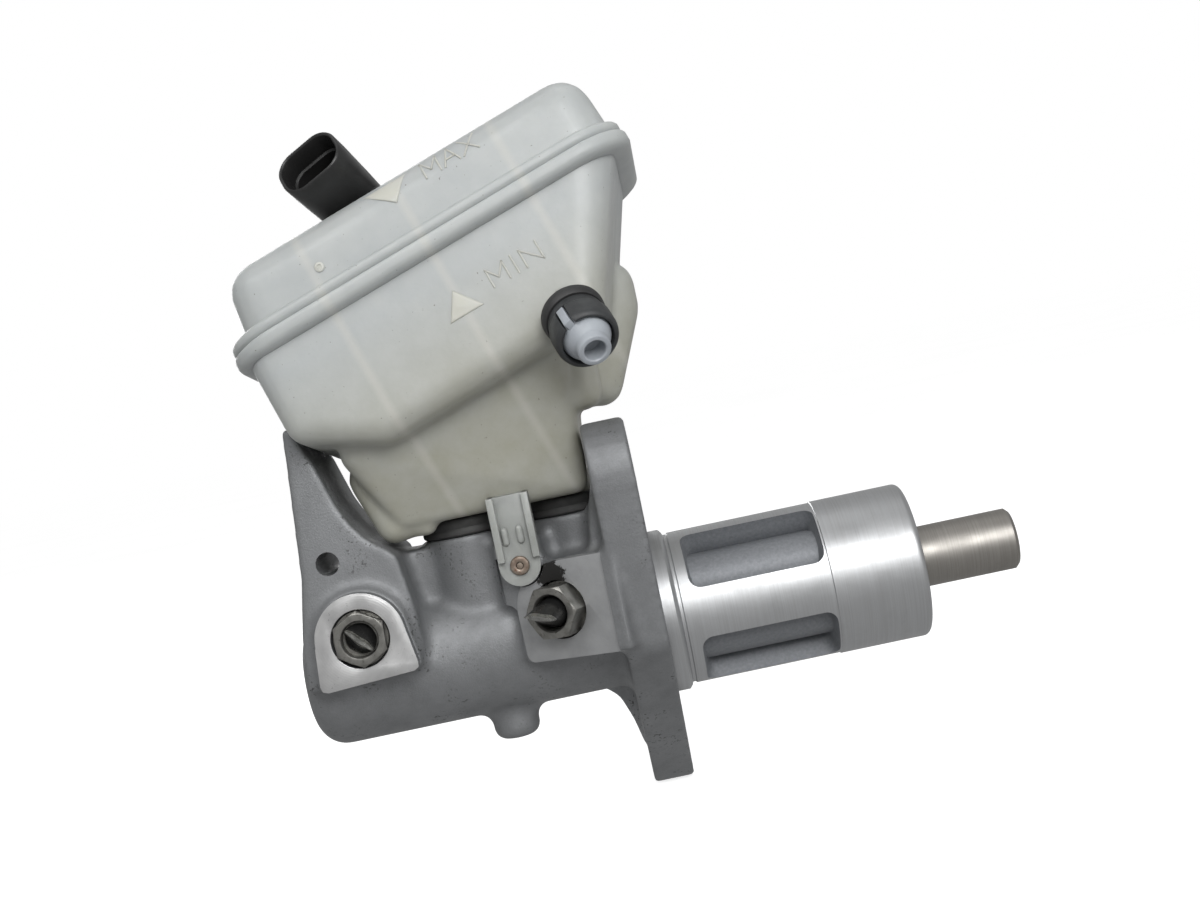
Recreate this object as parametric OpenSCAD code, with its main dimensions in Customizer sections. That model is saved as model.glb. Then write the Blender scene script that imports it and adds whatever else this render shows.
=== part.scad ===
// Tandem brake master cylinder with a translucent fluid reservoir.
// Frame: the origin is on the bore axis, in the plane of the flange's mounting
// face. +X runs along the bore towards the pushrod, -Y is the side with the two
// pipe ports, +Z is up. Sizes are in millimetres.

/* [Bore and pistons] */
// Bore diameter
bore_d = 23.8; // [22.2:0.1:24]
// Radial running clearance of the pistons in the bore
piston_gap = 0.05; // [0.02:0.01:0.1]
// Pushrod end of the primary piston, diameter
tail_d = 16; // [14:0.5:16.5]
// How far the piston tail stands out past the spigot
tail_proud = 26.6; // [22:0.2:30]

/* [Casting] */
// Length of the machined spigot that enters the booster
spigot_len = 67.4; // [62:0.2:70]
// Spigot diameter
spigot_d = 40.4; // [38:0.2:42]
// Outer radius of the barrel between the flange and the nose
barrel_r = 16.8; // [16:0.1:18]
// Nose of the casting, distance in front of the flange face
nose_len = 93.6; // [92:0.2:95]
// Flange thickness
flange_t = 11; // [9:0.5:12]
// Distance between the two flange holes
flange_pcd = 92; // [90:1:95]
// Diameter of the flange holes
flange_hole_d = 9; // [8:0.5:10.5]
// Lean of the line through the flange holes from upright, towards the ports
flange_lean = 31; // [25:1:36]

/* [Pipe ports] */
// Distance of the port centres from the bore axis, towards -Y
port_y = 25; // [24:0.5:26]
// Front port, distance in front of the flange face
front_port_x = 75; // [73:0.5:76]
// Rear port, distance in front of the flange face
rear_port_x = 25; // [24:0.5:27]
// Turn of the rear port towards the nose
rear_port_turn = 27; // [20:1:30]
// Width across the flats of the tube nuts
nut_af = 12.5; // [12:0.1:12.6]

/* [Reservoir] */
// Rise of the reservoir's seam towards the pushrod end
res_tilt = 19; // [18:0.5:20]
// Lean of the reservoir away from the ports
res_roll = 8; // [7:0.5:9]
// Wall thickness of both shells
res_wall = 2.2; // [1.8:0.1:2.6]
// Distance between the two reservoir outlets
outlet_pitch = 27.5; // [27:0.1:28]
// Diameter of the filler cap
cap_d = 36; // [32:1:36]

/* [Hidden] */
$fn = 64;
eps = 0.01;

// Bore and piston stations along X
bore_r = bore_d / 2;
piston_r = bore_r - piston_gap;
cup_r = bore_r - 0.02;
tail_r = tail_d / 2;
tail_gap = 0.05;
bore_end = -84;
clip_x = 60.3;
clip_t = 1.2;
shoulder_x = 40;
bush_x = [40.3, 60.2];
tail_end = spigot_len + tail_proud;
// primary piston: front face, cup groove, front land, waist, rear land, rear groove
p_front = -15.4;
p_groove = [-14.5, -11];
p_waist = [-10, 28];
p_rear_groove = [31, 35];
p_recess_end = 8;
p_recess_r = 7.6;
// secondary piston
s_front = -53.2;
s_groove = [-52.2, -48.6];
s_waist = [-46.3, -31.6];
s_rear = -26.7;
s_rear_groove = [-30.8, -27.8];
s_recess = [-47.2, -41.5];

// Springs
spring_r = 6;
wire_r = 1;

// Reservoir outlets and grommets
outlet_x = [-44.5, -44.5 + outlet_pitch];
boss_top = 31;
boss_r = 12.3;
well_r = 9.5;
well_floor = 21.5;
grommet_top = 35.5;
grommet_r = 12.5;
outlet_r = 6.2;

// Ports
port_z = 12;
rear_port_z = 9;
recess_r = 7.4;
recess_depth = 2.6;
thread_r = 6;
thread_depth = 12.5;
nut_r = nut_af / sqrt(3);

// Reservoir frame: u along the seam, v away from the ports, w up, measured
// from the bore axis after the tilt and the lean
seam_w = 106.2;
rim = [-58.6, -50.2, 54, 15];
tub = [-55.6, -47, 51, 12];
filler = [22, -3];
filler_w = [112, 128];
filler_r = 15.5;
sensor = [-14, -22];
sensor_top = 125.6;
stem_r = 4;
stem_foot = 70;
nipple_base = [19.4, -47, 72.4];
nipple_down = 46;

// ---------------------------------------------------------------- helpers

// Children stand on the plane X = x and grow towards +X
module along_x(x = 0) translate([x, 0, 0]) rotate([0, 90, 0]) children();

// 2D children in the (Y, Z) plane, ready to be extruded towards +X
module in_yz(x = 0) translate([x, 0, 0]) rotate([90, 0, 90]) children();

// 2D children in the (X, Z) plane, ready to be extruded towards -Y
module in_xz(y = 0) translate([0, y, 0]) rotate([90, 0, 0]) children();

// Turned part along X: points are [x, radius]
module turned(points) rotate([0, 90, 0]) rotate_extrude()
    polygon([for (p = points) [p[1], p[0]]]);

// Ring along X between two stations
module ring_x(x0, x1, r_out, r_in) along_x(x0) difference() {
    cylinder(h = x1 - x0, r = r_out);
    translate([0, 0, -1]) cylinder(h = x1 - x0 + 2, r = r_in);
}

// Cylinder with a rounded lower edge
module rounded_slug(r, h, f) rotate_extrude() union() {
    square([r - f, h]);
    translate([0, f]) square([r, h - f]);
    translate([r - f, f]) intersection() {
        circle(f);
        translate([-(r - f), -f]) square([r, 2 * f]);
    }
}

// Children in the frame of the reservoir
module in_res() rotate([0, -res_tilt, 0]) rotate([-res_roll, 0, 0]) children();

// Outline round circles given as [x, y, r] in anticlockwise order
function way_to(a, b) = [b[0] - a[0], b[1] - a[1]];
function turn_of(a, b) = atan2(way_to(a, b)[1], way_to(a, b)[0]) - acos((a[2] - b[2]) / norm(way_to(a, b)));
function on_circle(c, t) = [c[0] + (c[2] - 0.02) * cos(t), c[1] + (c[2] - 0.02) * sin(t)];
module round_outline(list) {
    n = len(list);
    polygon([
        for (i = [0 : n - 1]) for (k = [0, 1])
            on_circle(list[(i + k) % n], turn_of(list[i], list[(i + 1) % n]))
    ]);
    for (c = list) translate([c[0], c[1]]) circle(c[2]);
}

// Rectangle with round corners, box = [x0, y0, x1, y1]
module round_rect(box, r) {
    translate([box[0] + r, box[1]]) square([box[2] - box[0] - 2 * r, box[3] - box[1]]);
    translate([box[0], box[1] + r]) square([box[2] - box[0], box[3] - box[1] - 2 * r]);
    for (x = [box[0] + r, box[2] - r], y = [box[1] + r, box[3] - r])
        translate([x, y]) circle(r);
}

// Corner cylinders of a rounded slab, for use inside a hull
module slab_corners(box, r, z, h) {
    for (x = [box[0] + r, box[2] - r], y = [box[1] + r, box[3] - r])
        translate([x, y, z]) cylinder(h = h, r = r, $fn = 32);
}

// Frames of the two ports, +Z pointing out of the port
module at_front_port() translate([-front_port_x, -port_y, port_z]) rotate([90, 0, 0]) children();
module at_rear_port() translate([-rear_port_x, -port_y, rear_port_z])
    rotate([0, 0, -rear_port_turn]) rotate([90, 0, 0]) children();

// Frame of the hose outlet on the reservoir, +Z pointing out
module at_nipple() in_res() translate(nipple_base) rotate([90 + nipple_down, 0, 0]) children();

// Frame of the filler neck
module at_filler() in_res() translate([filler[0], filler[1], 0]) children();

// Frame of the sensor socket, +Z out of its mouth, X along its long side
module at_socket() in_res() translate([-12.8, -19, 126.2])
    rotate([0, -18.7, 0]) rotate([58, 0, 0]) rotate([0, 0, -13.9]) children();

// ---------------------------------------------------------------- casting

// Two-eared flange, its long axis leaning towards the ports
module flange() {
    ear = [-flange_pcd / 2 * sin(flange_lean), flange_pcd / 2 * cos(flange_lean), 13.4];
    corner = [-23.5, -2.5, 5.5];
    in_yz(-flange_t) difference() {
        linear_extrude(flange_t)
            round_outline([ear, corner, [-ear[0], -ear[1], 9.5], [-corner[0], -corner[1], corner[2]]]);
        for (s = [-1, 1])
            translate([s * ear[0], s * ear[1], -1]) cylinder(h = flange_t + 2, d = flange_hole_d);
    }
}

// Core left standing behind the four pockets of the spigot
module pocket_core() along_x(-1) intersection() {
    cylinder(h = spigot_len + 2, r = 15.8);
    translate([-13.4, -13.4, 0]) cube([26.8, 26.8, spigot_len + 2]);
}

// One pocket: a rounded rectangle sunk radially into the spigot
module pocket_cutter(angle) rotate([angle, 0, 0]) linear_extrude(spigot_d / 2 + 2)
    round_rect([8, -9.1, 43, 9.1], 3);

module spigot() {
    difference() {
        union() {
            turned([[-1, 0], [-1, 21.2], [3.6, 21.2], [4.2, 20.5], [5, spigot_d / 2 - 0.25],
                    [43.4, spigot_d / 2 - 0.25], [43.6, spigot_d / 2],
                    [spigot_len - 1.2, spigot_d / 2], [spigot_len, spigot_d / 2 - 1.2], [spigot_len, 0]]);
        }
        for (a = [45 : 90 : 315]) difference() {
            pocket_cutter(a);
            pocket_core();
        }
    }
}

// Tall support at the nose: outer edge leaning, curved inner edge
module nose_arm() in_xz(19) linear_extrude(38)
    polygon([[-91.4, 2], [-90.2, 14], [-87.2, 29], [-84.6, 60], [-84.2, 66.5], [-82.4, 66.5],
             [-80.2, 60.5], [-78.6, 57.5], [-77, 52.5], [-75, 45.7], [-72.4, 40], [-69, 35.4],
             [-65, 32.6], [-62.6, 30], [-60, 14], [-59.5, 8], [-62, 1]]);

// Rib that joins the arm and the two reservoir bosses on top of the barrel
module top_rib() in_xz(7) linear_extrude(14)
    polygon([[-72, 5], [-72, 30], [-14, 29], [-6, 24], [-6, 5]]);

// Machined D-shaped face of the front port
module front_port_boss() in_xz(-8) linear_extrude(port_y - 8) {
    translate([-front_port_x, port_z]) circle(11.4);
    polygon([[-front_port_x - 11.4, port_z + 0.5], [-front_port_x - 12.4, 1.2],
             [-front_port_x - 11.2, 0.2], [-front_port_x + 12.2, 1.6],
             [-front_port_x + 12.9, 2.6], [-front_port_x + 11.3, port_z + 1]]);
}

// Block of the rear port, its face turned towards the nose
module rear_port_boss() intersection() {
    at_rear_port() translate([0, 0, -22]) linear_extrude(22) {
        circle(11.8);
        translate([-11.8, -12.4]) square([11.8, 12.4]);
        translate([0, -12.4]) square([22, 25.2]);
    }
    translate([-60, -50, -20]) cube([59.5, 70, 60]);
}

// Everything that is drilled or bored into the casting
module casting_bores() {
    along_x(bore_end) cylinder(h = 200, r = bore_r);
    along_x(clip_x) cylinder(h = clip_t, r = bore_r + 1.3);
    along_x(spigot_len - 1) cylinder(h = 1 + eps, r1 = bore_r, r2 = bore_r + 1);
    for (x = outlet_x) translate([x, 0, well_floor]) cylinder(h = 30, r = well_r);
    // room for the rear grommet beside the flange
    translate([outlet_x[1], 0, boss_top]) cylinder(h = 30, r = grommet_r + 0.3);
    // compensating holes, then feed holes, then the hole for the stop pin
    translate([s_front - 0.3, 0, 0]) cylinder(h = 30, r = 0.35);
    translate([p_front - 0.8, 0, 0]) cylinder(h = 30, r = 0.35);
    translate([-40.5, 0, 0]) cylinder(h = 30, r = 1.5);
    translate([-8.8, 0, 0]) cylinder(h = 30, r = 1.1);
    translate([-44.5, 0, 0]) cylinder(h = 30, r = 1.5);
    at_front_port() port_bore(26);
    at_rear_port() port_bore(20);
    // hole of the retaining pin
    translate([-32.5, -5, 21.6]) rotate([90, 0, 0]) cylinder(h = 30, r = 1.75);
    // flat that the end of the reservoir's tab sits in
    translate([-32.3, -20.9, 21.6]) rotate([90, 0, 0]) cylinder(h = 12, r = 5.6);
    // cross hole through the arm
    translate([-80, 30, 31.5]) rotate([90, 0, 0]) cylinder(h = 60, r = 3);
}

module port_bore(passage) {
    translate([0, 0, -recess_depth]) cylinder(h = 20, r = recess_r);
    translate([0, 0, -thread_depth]) cylinder(h = thread_depth, r = thread_r);
    translate([0, 0, -passage]) cylinder(h = passage, r = 2.4);
}

module cylinder_body() color([0.56, 0.57, 0.58]) difference() {
    union() {
        along_x(-nose_len) rounded_slug(barrel_r, nose_len - 8, 7);
        flange();
        spigot();
        nose_arm();
        top_rib();
        for (x = outlet_x) translate([x, 0, 0]) cylinder(h = boss_top, r = boss_r);
        front_port_boss();
        rear_port_boss();
        // lug that takes the retaining pin
        translate([-39, -20.5, 12]) cube([13, 14, 15.5]);
        // lug under the barrel
        translate([-43.2, 0, -24.3]) rounded_slug(6.1, 20, 3.2);
    }
    casting_bores();
}

// ---------------------------------------------------------------- bore parts

module guide_bush() color([0.30, 0.31, 0.33]) difference() {
    ring_x(bush_x[0], bush_x[1], bore_r - 0.05, tail_r + tail_gap);
    ring_x(52, 56.5, 10.6, 7);
}

module rod_seal() color([0.10, 0.10, 0.11]) ring_x(52.1, 56.4, 10.55, tail_r + 0.02);

module circlip() color([0.72, 0.73, 0.75]) difference() {
    ring_x(clip_x + 0.05, clip_x + clip_t - 0.05, bore_r + 1.2, 10.2);
    translate([clip_x - 1, -3, -16]) cube([4, 6, 10]);
}

module stop_pin() color([0.70, 0.71, 0.73]) translate([-44.5, 0, 7]) cylinder(h = 16, r = 1.45);

module primary_piston() color([0.62, 0.60, 0.57]) turned([
    [p_recess_end, 0], [p_recess_end, p_recess_r], [p_front, p_recess_r], [p_front, piston_r - 0.2],
    [p_groove[0], piston_r - 0.2], [p_groove[0], 9], [p_groove[1], 9], [p_groove[1], piston_r],
    [p_waist[0], piston_r], [p_waist[0], 9.4], [p_waist[1], 9.4], [p_waist[1], piston_r],
    [p_rear_groove[0], piston_r], [p_rear_groove[0], 9],
    [p_rear_groove[1], 9], [p_rear_groove[1], piston_r],
    [shoulder_x, piston_r], [shoulder_x, tail_r], [tail_end - 0.9, tail_r], [tail_end, tail_r - 0.9],
    [tail_end, 5], [tail_end - 14, 5], [tail_end - 16, 0],
]);

// Lip seal along X: a ring whose front face is hollowed into a lip
module lip_seal(x0, x1, r_in) color([0.09, 0.09, 0.10]) turned([
    [x0, r_in], [x0, r_in + 0.8], [x0 + 1.6, r_in + 1.2], [x0, cup_r - 0.8], [x0, cup_r],
    [x1, cup_r - 0.3], [x1, r_in],
]);

module primary_cup() lip_seal(p_groove[0] + 0.05, p_groove[1] - 0.05, 9.02);
module primary_rear_cup() lip_seal(p_rear_groove[0] + 0.05, p_rear_groove[1] - 0.05, 9.02);

// Captive screw that sets the length of the primary spring
module spring_screw() color([0.74, 0.74, 0.72]) {
    along_x(-27.6) cylinder(h = 2.0 + p_recess_end + 25.6, r = 2);
    along_x(-29.4) cylinder(h = 1.9, r = 3.6, $fn = 48);
}

module secondary_piston() color([0.66, 0.66, 0.64]) turned([
    [s_recess[0], 0], [s_recess[0], p_recess_r], [s_front, p_recess_r], [s_front, piston_r - 0.2],
    [s_groove[0], piston_r - 0.2], [s_groove[0], 9], [s_groove[1], 9], [s_groove[1], piston_r],
    [s_waist[0], piston_r], [s_waist[0], 6.4], [s_waist[1], 6.4], [s_waist[1], piston_r],
    [s_rear_groove[0], piston_r], [s_rear_groove[0], 9],
    [s_rear_groove[1], 9], [s_rear_groove[1], piston_r],
    [s_rear, piston_r], [s_rear, 4.6], [s_recess[1], 4.6], [s_recess[1], 0],
]);

module secondary_cup() lip_seal(s_groove[0] + 0.05, s_groove[1] - 0.05, 9.02);
module secondary_rear_cup() lip_seal(s_rear_groove[0] + 0.05, s_rear_groove[1] - 0.05, 9.02);

module spring_retainer() color([0.75, 0.74, 0.68]) turned([
    [s_rear + 0.05, 2.4], [s_rear + 0.05, 7.1], [s_rear + 1, 7.1], [s_rear + 1, 4.6], [s_rear + 4, 4.6],
    [s_rear + 4, 3.8], [s_rear + 1.8, 3.8], [s_rear + 1.8, 2.4],
]);

// Coil spring along X, built from short straight rods
module coil(x0, x1, turns) {
    steps = turns * 14;
    pitch = (x1 - x0 - 2 * wire_r) / steps;
    at = function (i) [x0 + wire_r + i * pitch, spring_r * cos(i * 360 / 14), spring_r * sin(i * 360 / 14)];
    sides = 6;
    ringpt = function (i, k) let (a = i * 360 / 14, b = k * 360 / sides)
        at(i) + wire_r * cos(b) * [0, cos(a), sin(a)] + wire_r * sin(b) * [1, 0, 0];
    polyhedron(
        points = [for (i = [0 : steps]) for (k = [0 : sides - 1]) ringpt(i, k)],
        faces = concat(
            [[for (k = [0 : sides - 1]) k]],
            [for (i = [0 : steps - 1]) for (k = [0 : sides - 1])
                [i * sides + k, (i + 1) * sides + k,
                 (i + 1) * sides + (k + 1) % sides, i * sides + (k + 1) % sides]],
            [[for (k = [sides - 1 : -1 : 0]) steps * sides + k]]
        )
    );
}

module primary_spring() color([0.55, 0.56, 0.58]) coil(s_rear + 1.2, p_recess_end - 0.1, 7);
module secondary_spring() color([0.55, 0.56, 0.58]) coil(bore_end + 0.2, s_recess[0] - 0.2, 8);

// ---------------------------------------------------------------- reservoir

module grommet(x) translate([x, 0, 0]) difference() {
    union() {
        translate([0, 0, boss_top + 0.05]) cylinder(h = grommet_top - boss_top - 0.1, r = grommet_r);
        translate([0, 0, 24.5]) cylinder(h = 8, r = well_r - 0.05);
    }
    translate([0, 0, 20]) cylinder(h = 20, r = outlet_r + 0.05);
}

module front_grommet() color([0.10, 0.10, 0.11]) grommet(outlet_x[0]);
module rear_grommet() color([0.10, 0.10, 0.11]) grommet(outlet_x[1]);

// Tub of the lower shell, drawn in by the wall thickness for its cavity
module tub_form(wall) in_res() hull() {
    slab_corners([tub[0] + wall, tub[1] + wall, tub[2] - wall, tub[3] - wall], 10 - wall, 98.6,
                 seam_w - 98.6 + wall);
    for (v = [tub[1] + 6, tub[3] - 6]) {
        for (p = [[-49.6, 83], [-33, 74], [23, 74]]) translate([p[0], v, p[1]]) sphere(6 - wall, $fn = 32);
    }
}

// Neck that narrows down to the two outlets
module neck_form(wall) hull() {
    slab_corners([-62 + wall, -18 + wall, -11.4 - wall, 17 - wall], 6 - wall, 35.6 + wall, 3);
    in_res() for (u = [-43.5, 9], v = [-30.5, 5]) translate([u, v, 72]) sphere(5.5 - wall, $fn = 32);
}

// Rounded corner of the neck that hangs beside the front boss
module neck_corner() hull() {
    for (y = [-12, 10]) {
        translate([-62.4, y, 36.9]) sphere(4.6, $fn = 24);
        translate([-66.2, y, 50]) sphere(5.4, $fn = 24);
        translate([-61, y, 50]) sphere(5.4, $fn = 24);
    }
}

// Step of the neck that reaches over the flange's upper ear
module step_form(wall) hull()
    for (x = [-20, -8], y = [-16, 12], z = [60.5, 78]) translate([x, y, z]) sphere(4.5 - wall, $fn = 24);

// Chamber at the pushrod end, and the space inside it
module lobe_form() hull() for (y = [-2, 18]) {
    translate([4.4, y, 86]) sphere(6, $fn = 24);
    translate([4.4, y, 80]) sphere(6, $fn = 24);
    translate([-3.5, y, 61.8]) sphere(6, $fn = 24);
    translate([-16, y, 70]) sphere(6, $fn = 24);
}
module lobe_space() in_xz(20.5) linear_extrude(25)
    polygon([[-17, 73], [-15, 67], [-5, 59], [-1.5, 60.5], [7.4, 79.5], [7.4, 88], [-10, 88]]);

// Retaining tab that hangs in front of the casting
module retaining_tab() difference() {
    union() {
        in_xz(-21.2) linear_extrude(2.2) {
            translate([-32.3, 21.6]) circle(5.2);
            polygon([[-37.5, 21.6], [-37.7, 39], [-26.9, 39], [-27.1, 21.6]]);
        }
        for (x = [-37.7, -28.7]) {
            translate([x, -25.4, 22]) cube([1.8, 4.3, 17]);
            translate([x, -21.3, 28.2]) cube([1.8, 4.9, 10.8]);
        }
        translate([-37.7, -22, 35.8]) cube([10.8, 7, 3.4]);
    }
    translate([-32.5, -10, 21.6]) rotate([90, 0, 0]) cylinder(h = 20, r = 1.8);
}

module reservoir_lower_shell() color([0.84, 0.85, 0.82]) {
    difference() {
        union() {
            tub_form(0);
            neck_form(0);
            step_form(0);
            lobe_form();
            neck_corner();
            in_res() translate([0, 0, 102.4]) linear_extrude(seam_w - 102.4) round_rect(rim, 14);
            for (x = outlet_x) translate([x, 0, 25.5]) cylinder(h = 14, r = outlet_r);
            at_nipple() translate([0, 0, -8]) cylinder(h = 12.5, r = 4.2);
        }
        tub_form(res_wall);
        neck_form(res_wall);
        lobe_space();
        in_res() translate([-80, -80, seam_w]) cube([160, 120, 40]);
        for (x = outlet_x) translate([x, 0, 20]) cylinder(h = 22, r = 4.4);
        at_nipple() translate([0, 0, -12]) cylinder(h = 30, r = 2.6);
    }
    baffles();
    retaining_tab();
}

// Slosh baffles moulded into the lower shell, stopping short of the floor
module baffles() in_res() for (u = [-30, -2.2, 25.6])
    translate([u - 0.8, -46, 80]) cube([1.6, 57, 20]);

module upper_form(wall) in_res() hull() {
    slab_corners([-54.5 + wall, -44 + wall, 51.5 - wall, 11 - wall], 10 - wall, seam_w + 0.05 - wall,
                 3);
    for (u = [-44, 42.8]) {
        translate([u, -35.6, 118.2]) sphere(8 - wall, $fn = 32);
        translate([u, 3, 112.6]) sphere(8 - wall, $fn = 32);
    }
}

module reservoir_upper_shell() color([0.87, 0.88, 0.86]) difference() {
    union() {
        upper_form(0);
        in_res() {
            translate([0, 0, seam_w + 0.05]) linear_extrude(3) round_rect([-58, -49.6, 53.4, 14.4], 14);
            translate([filler[0], filler[1], filler_w[0]])
                cylinder(h = filler_w[1] - filler_w[0], r = filler_r);
            translate([sensor[0], sensor[1], 116]) cylinder(h = sensor_top - 0.1 - 116, r = 12.4);
        }
    }
    upper_form(res_wall);
    in_res() {
        translate([filler[0], filler[1], 100]) cylinder(h = 40, r = filler_r - 2);
        translate([sensor[0], sensor[1], 90]) cylinder(h = 45, r = 9.2);
        translate([-80, -80, seam_w - 30]) cube([160, 120, 30.05]);
    }
}

module filler_cap() color([0.07, 0.07, 0.08]) at_filler() difference() {
    union() {
        translate([0, 0, 124.8]) cylinder(h = 5.8, d = cap_d);
        for (a = [0 : 30 : 330])
            rotate([0, 0, a]) translate([cap_d / 2 - 1, 0, 124.8]) cylinder(h = 5, r = 1.8);
    }
    translate([0, 0, 119]) cylinder(h = 10.6, r = filler_r + 0.4);
    translate([0, 0, 130.2]) cylinder(h = 5, r = 12);
}

module cap_gasket() color([0.12, 0.12, 0.13]) at_filler() translate([0, 0, 128.56]) difference() {
    cylinder(h = 1, r = filler_r - 0.1);
    translate([0, 0, -1]) cylinder(h = 4, r = 9);
}

module filler_strainer() color([0.86, 0.86, 0.82]) at_filler() difference() {
    union() {
        translate([0, 0, 128.05]) cylinder(h = 0.2, r = filler_r - 0.2);
        translate([0, 0, 124]) cylinder(h = 4.2, r = filler_r - 2.15);
        translate([0, 0, 101.5]) cylinder(h = 24, r = filler_r - 3.3);
    }
    translate([0, 0, 103]) cylinder(h = 40, r = filler_r - 4.5);
    for (a = [0 : 45 : 315]) rotate([0, 0, a]) translate([0, -1.6, 105]) cube([20, 3.2, 14]);
    for (a = [0 : 60 : 300]) rotate([0, 0, a]) translate([6, 0, 95]) cylinder(h = 20, r = 1.5);
}

// Oval outline of the socket
module oval(w, h) round_rect([-w / 2, -h / 2, w / 2, h / 2], h / 2 - 1.6);

module level_sensor_housing() color([0.06, 0.06, 0.07]) difference() {
    union() {
        in_res() translate([sensor[0], sensor[1], 0]) {
            translate([0, 0, sensor_top]) cylinder(h = 3, r = 11.4);
            translate([0, 0, 116]) cylinder(h = 10, r = 9);
            translate([0, 0, stem_foot]) cylinder(h = 52, r = stem_r);
            translate([0, 0, stem_foot]) cylinder(h = 2.2, r = stem_r + 3.4);
        }
        difference() {
            at_socket() translate([0, 0, 4]) linear_extrude(21) oval(16.8, 13.2);
            upper_form(-0.1);
            in_res() translate([sensor[0], sensor[1], 110]) cylinder(h = sensor_top - 110, r = 12.5);
        }
    }
    at_socket() translate([0, 0, 12]) linear_extrude(20) oval(14.2, 10.6);
    in_res() translate([sensor[0], sensor[1], stem_foot + 3]) cylinder(h = 46, r = 2.2);
}

module sensor_terminals() color([0.78, 0.70, 0.45]) at_socket() for (x = [-3, 3])
    translate([x - 1.2, -0.4, 12.03]) cube([2.4, 0.8, 7]);

module reed_switch() color([0.75, 0.80, 0.78]) in_res()
    translate([sensor[0], sensor[1], stem_foot + 4]) cylinder(h = 20, r = 1.9);

module level_float() color([0.20, 0.20, 0.21])
in_res() translate([sensor[0], sensor[1], 72.6]) difference() {
    cylinder(h = 15, r = 9.4);
    translate([0, 0, -1]) cylinder(h = 20, r = stem_r + 0.5);
    translate([0, 0, 12.2]) cylinder(h = 4, r = 7.1);
}

module float_magnet() color([0.35, 0.35, 0.37])
in_res() translate([sensor[0], sensor[1], 84.9]) difference() {
    cylinder(h = 2.6, r = 7);
    translate([0, 0, -1]) cylinder(h = 5, r = stem_r + 0.6);
}

module retaining_pin() color([0.62, 0.55, 0.48])
translate([-32.5, -6, 21.6]) rotate([90, 0, 0]) difference() {
    union() {
        cylinder(h = 19.6, r = 1.7);
        translate([0, 0, 17.5]) cylinder(h = 0.8, r = 2.4);
    }
    translate([0, 0, -1]) cylinder(h = 19, r = 0.8);
}

// ---------------------------------------------------------------- hose outlet

module outlet_seal_ring() color([0.04, 0.04, 0.04]) at_nipple() translate([0, 0, 0.8]) difference() {
    cylinder(h = 3.4, r = 8);
    translate([0, 0, -1]) cylinder(h = 6, r = 4.3);
}

module outlet_boot() color([0.17, 0.18, 0.18]) at_nipple() difference() {
    union() {
        translate([0, 0, 4.3]) cylinder(h = 3.2, r = 7.2);
        translate([0, 0, 7.5]) cylinder(h = 6.6, r = 7.9);
    }
    cylinder(h = 9, r = 4.35);
    translate([0, 0, 9]) cylinder(h = 6, r = 6.3);
    translate([-10, -1.1, 6]) cube([10, 2.2, 10]);
}

module outlet_plug() color([0.72, 0.76, 0.80]) at_nipple() difference() {
    union() {
        translate([0, 0, 9.2]) cylinder(h = 3, r = 6.1);
        translate([0, 0, 12.2]) cylinder(h = 4.2, r1 = 6.1, r2 = 4.2);
        translate([0, 0, 16.4]) cylinder(h = 2.4, r = 4.1);
        translate([-8, -0.9, 8.8]) cube([4, 1.8, 5]);
    }
    translate([0, 0, 11]) cylinder(h = 10, r = 2.65);
    cylinder(h = 9.6, r = 4.35);
}

// ---------------------------------------------------------------- pipe ends

module tube_nut(hex_from, hex_to) {
    difference() {
        union() {
            translate([0, 0, -thread_depth + 1])
                cylinder(h = hex_from + thread_depth - 1 + eps, r = thread_r - 0.1);
            translate([0, 0, hex_from]) intersection() {
                cylinder(h = hex_to - hex_from, r = nut_r, $fn = 6);
                cylinder(h = hex_to - hex_from, r1 = nut_r + 1, r2 = nut_r - 0.6);
            }
            translate([0, 0, hex_from]) cylinder(h = 0.9, r = nut_r - 0.05);
        }
        translate([0, 0, -20]) cylinder(h = 40, r = 3.1);
        translate([0, 0, hex_to - 4]) cylinder(h = 5, r = 4.3);
    }
}

// Pipe end: round in the nut, nipped flat where it was cut
module pipe_stub(foot, shoulder, tip, turn) {
    translate([0, 0, foot]) cylinder(h = shoulder - foot, r = 3);
    hull() {
        translate([0, 0, shoulder]) cylinder(h = 1, r = 4, $fn = 32);
        rotate([0, 0, turn]) translate([-4.4, -0.45, tip - 0.8]) cube([8.8, 0.9, 0.8]);
    }
}

module front_tube_nut() color([0.55, 0.53, 0.45])
    at_front_port() rotate([0, 0, 28]) tube_nut(-recess_depth + 0.1, 1.4);
module rear_tube_nut() color([0.55, 0.53, 0.45]) at_rear_port() tube_nut(-recess_depth + 0.1, 5.2);
module front_pipe_stub() color([0.07, 0.07, 0.07]) at_front_port() pipe_stub(-11, -2.2, 3.4, -46);
module rear_pipe_stub() color([0.07, 0.07, 0.07]) at_rear_port() pipe_stub(-11, 1.6, 11.5, -12);

// ---------------------------------------------------------------- nodes

cylinder_body();
guide_bush();
rod_seal();
circlip();
stop_pin();
primary_piston();
primary_cup();
primary_rear_cup();
spring_screw();
secondary_piston();
secondary_cup();
secondary_rear_cup();
spring_retainer();
primary_spring();
secondary_spring();
front_grommet();
rear_grommet();
reservoir_lower_shell();
reservoir_upper_shell();
retaining_pin();
filler_cap();
cap_gasket();
filler_strainer();
level_sensor_housing();
sensor_terminals();
reed_switch();
level_float();
float_magnet();
outlet_seal_ring();
outlet_boot();
outlet_plug();
front_tube_nut();
rear_tube_nut();
front_pipe_stub();
rear_pipe_stub();
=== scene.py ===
"""Finishes and finer shapes for a tandem brake master cylinder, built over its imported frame.

Lengths in this file are millimetres in the frame of the CAD model: the origin is on the bore axis in the
plane of the flange's mounting face, +X runs towards the pushrod, -Y is the side with the two pipe ports
and +Z is up. Meshes are scaled to metres as they are made.
"""
from __future__ import annotations

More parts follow.
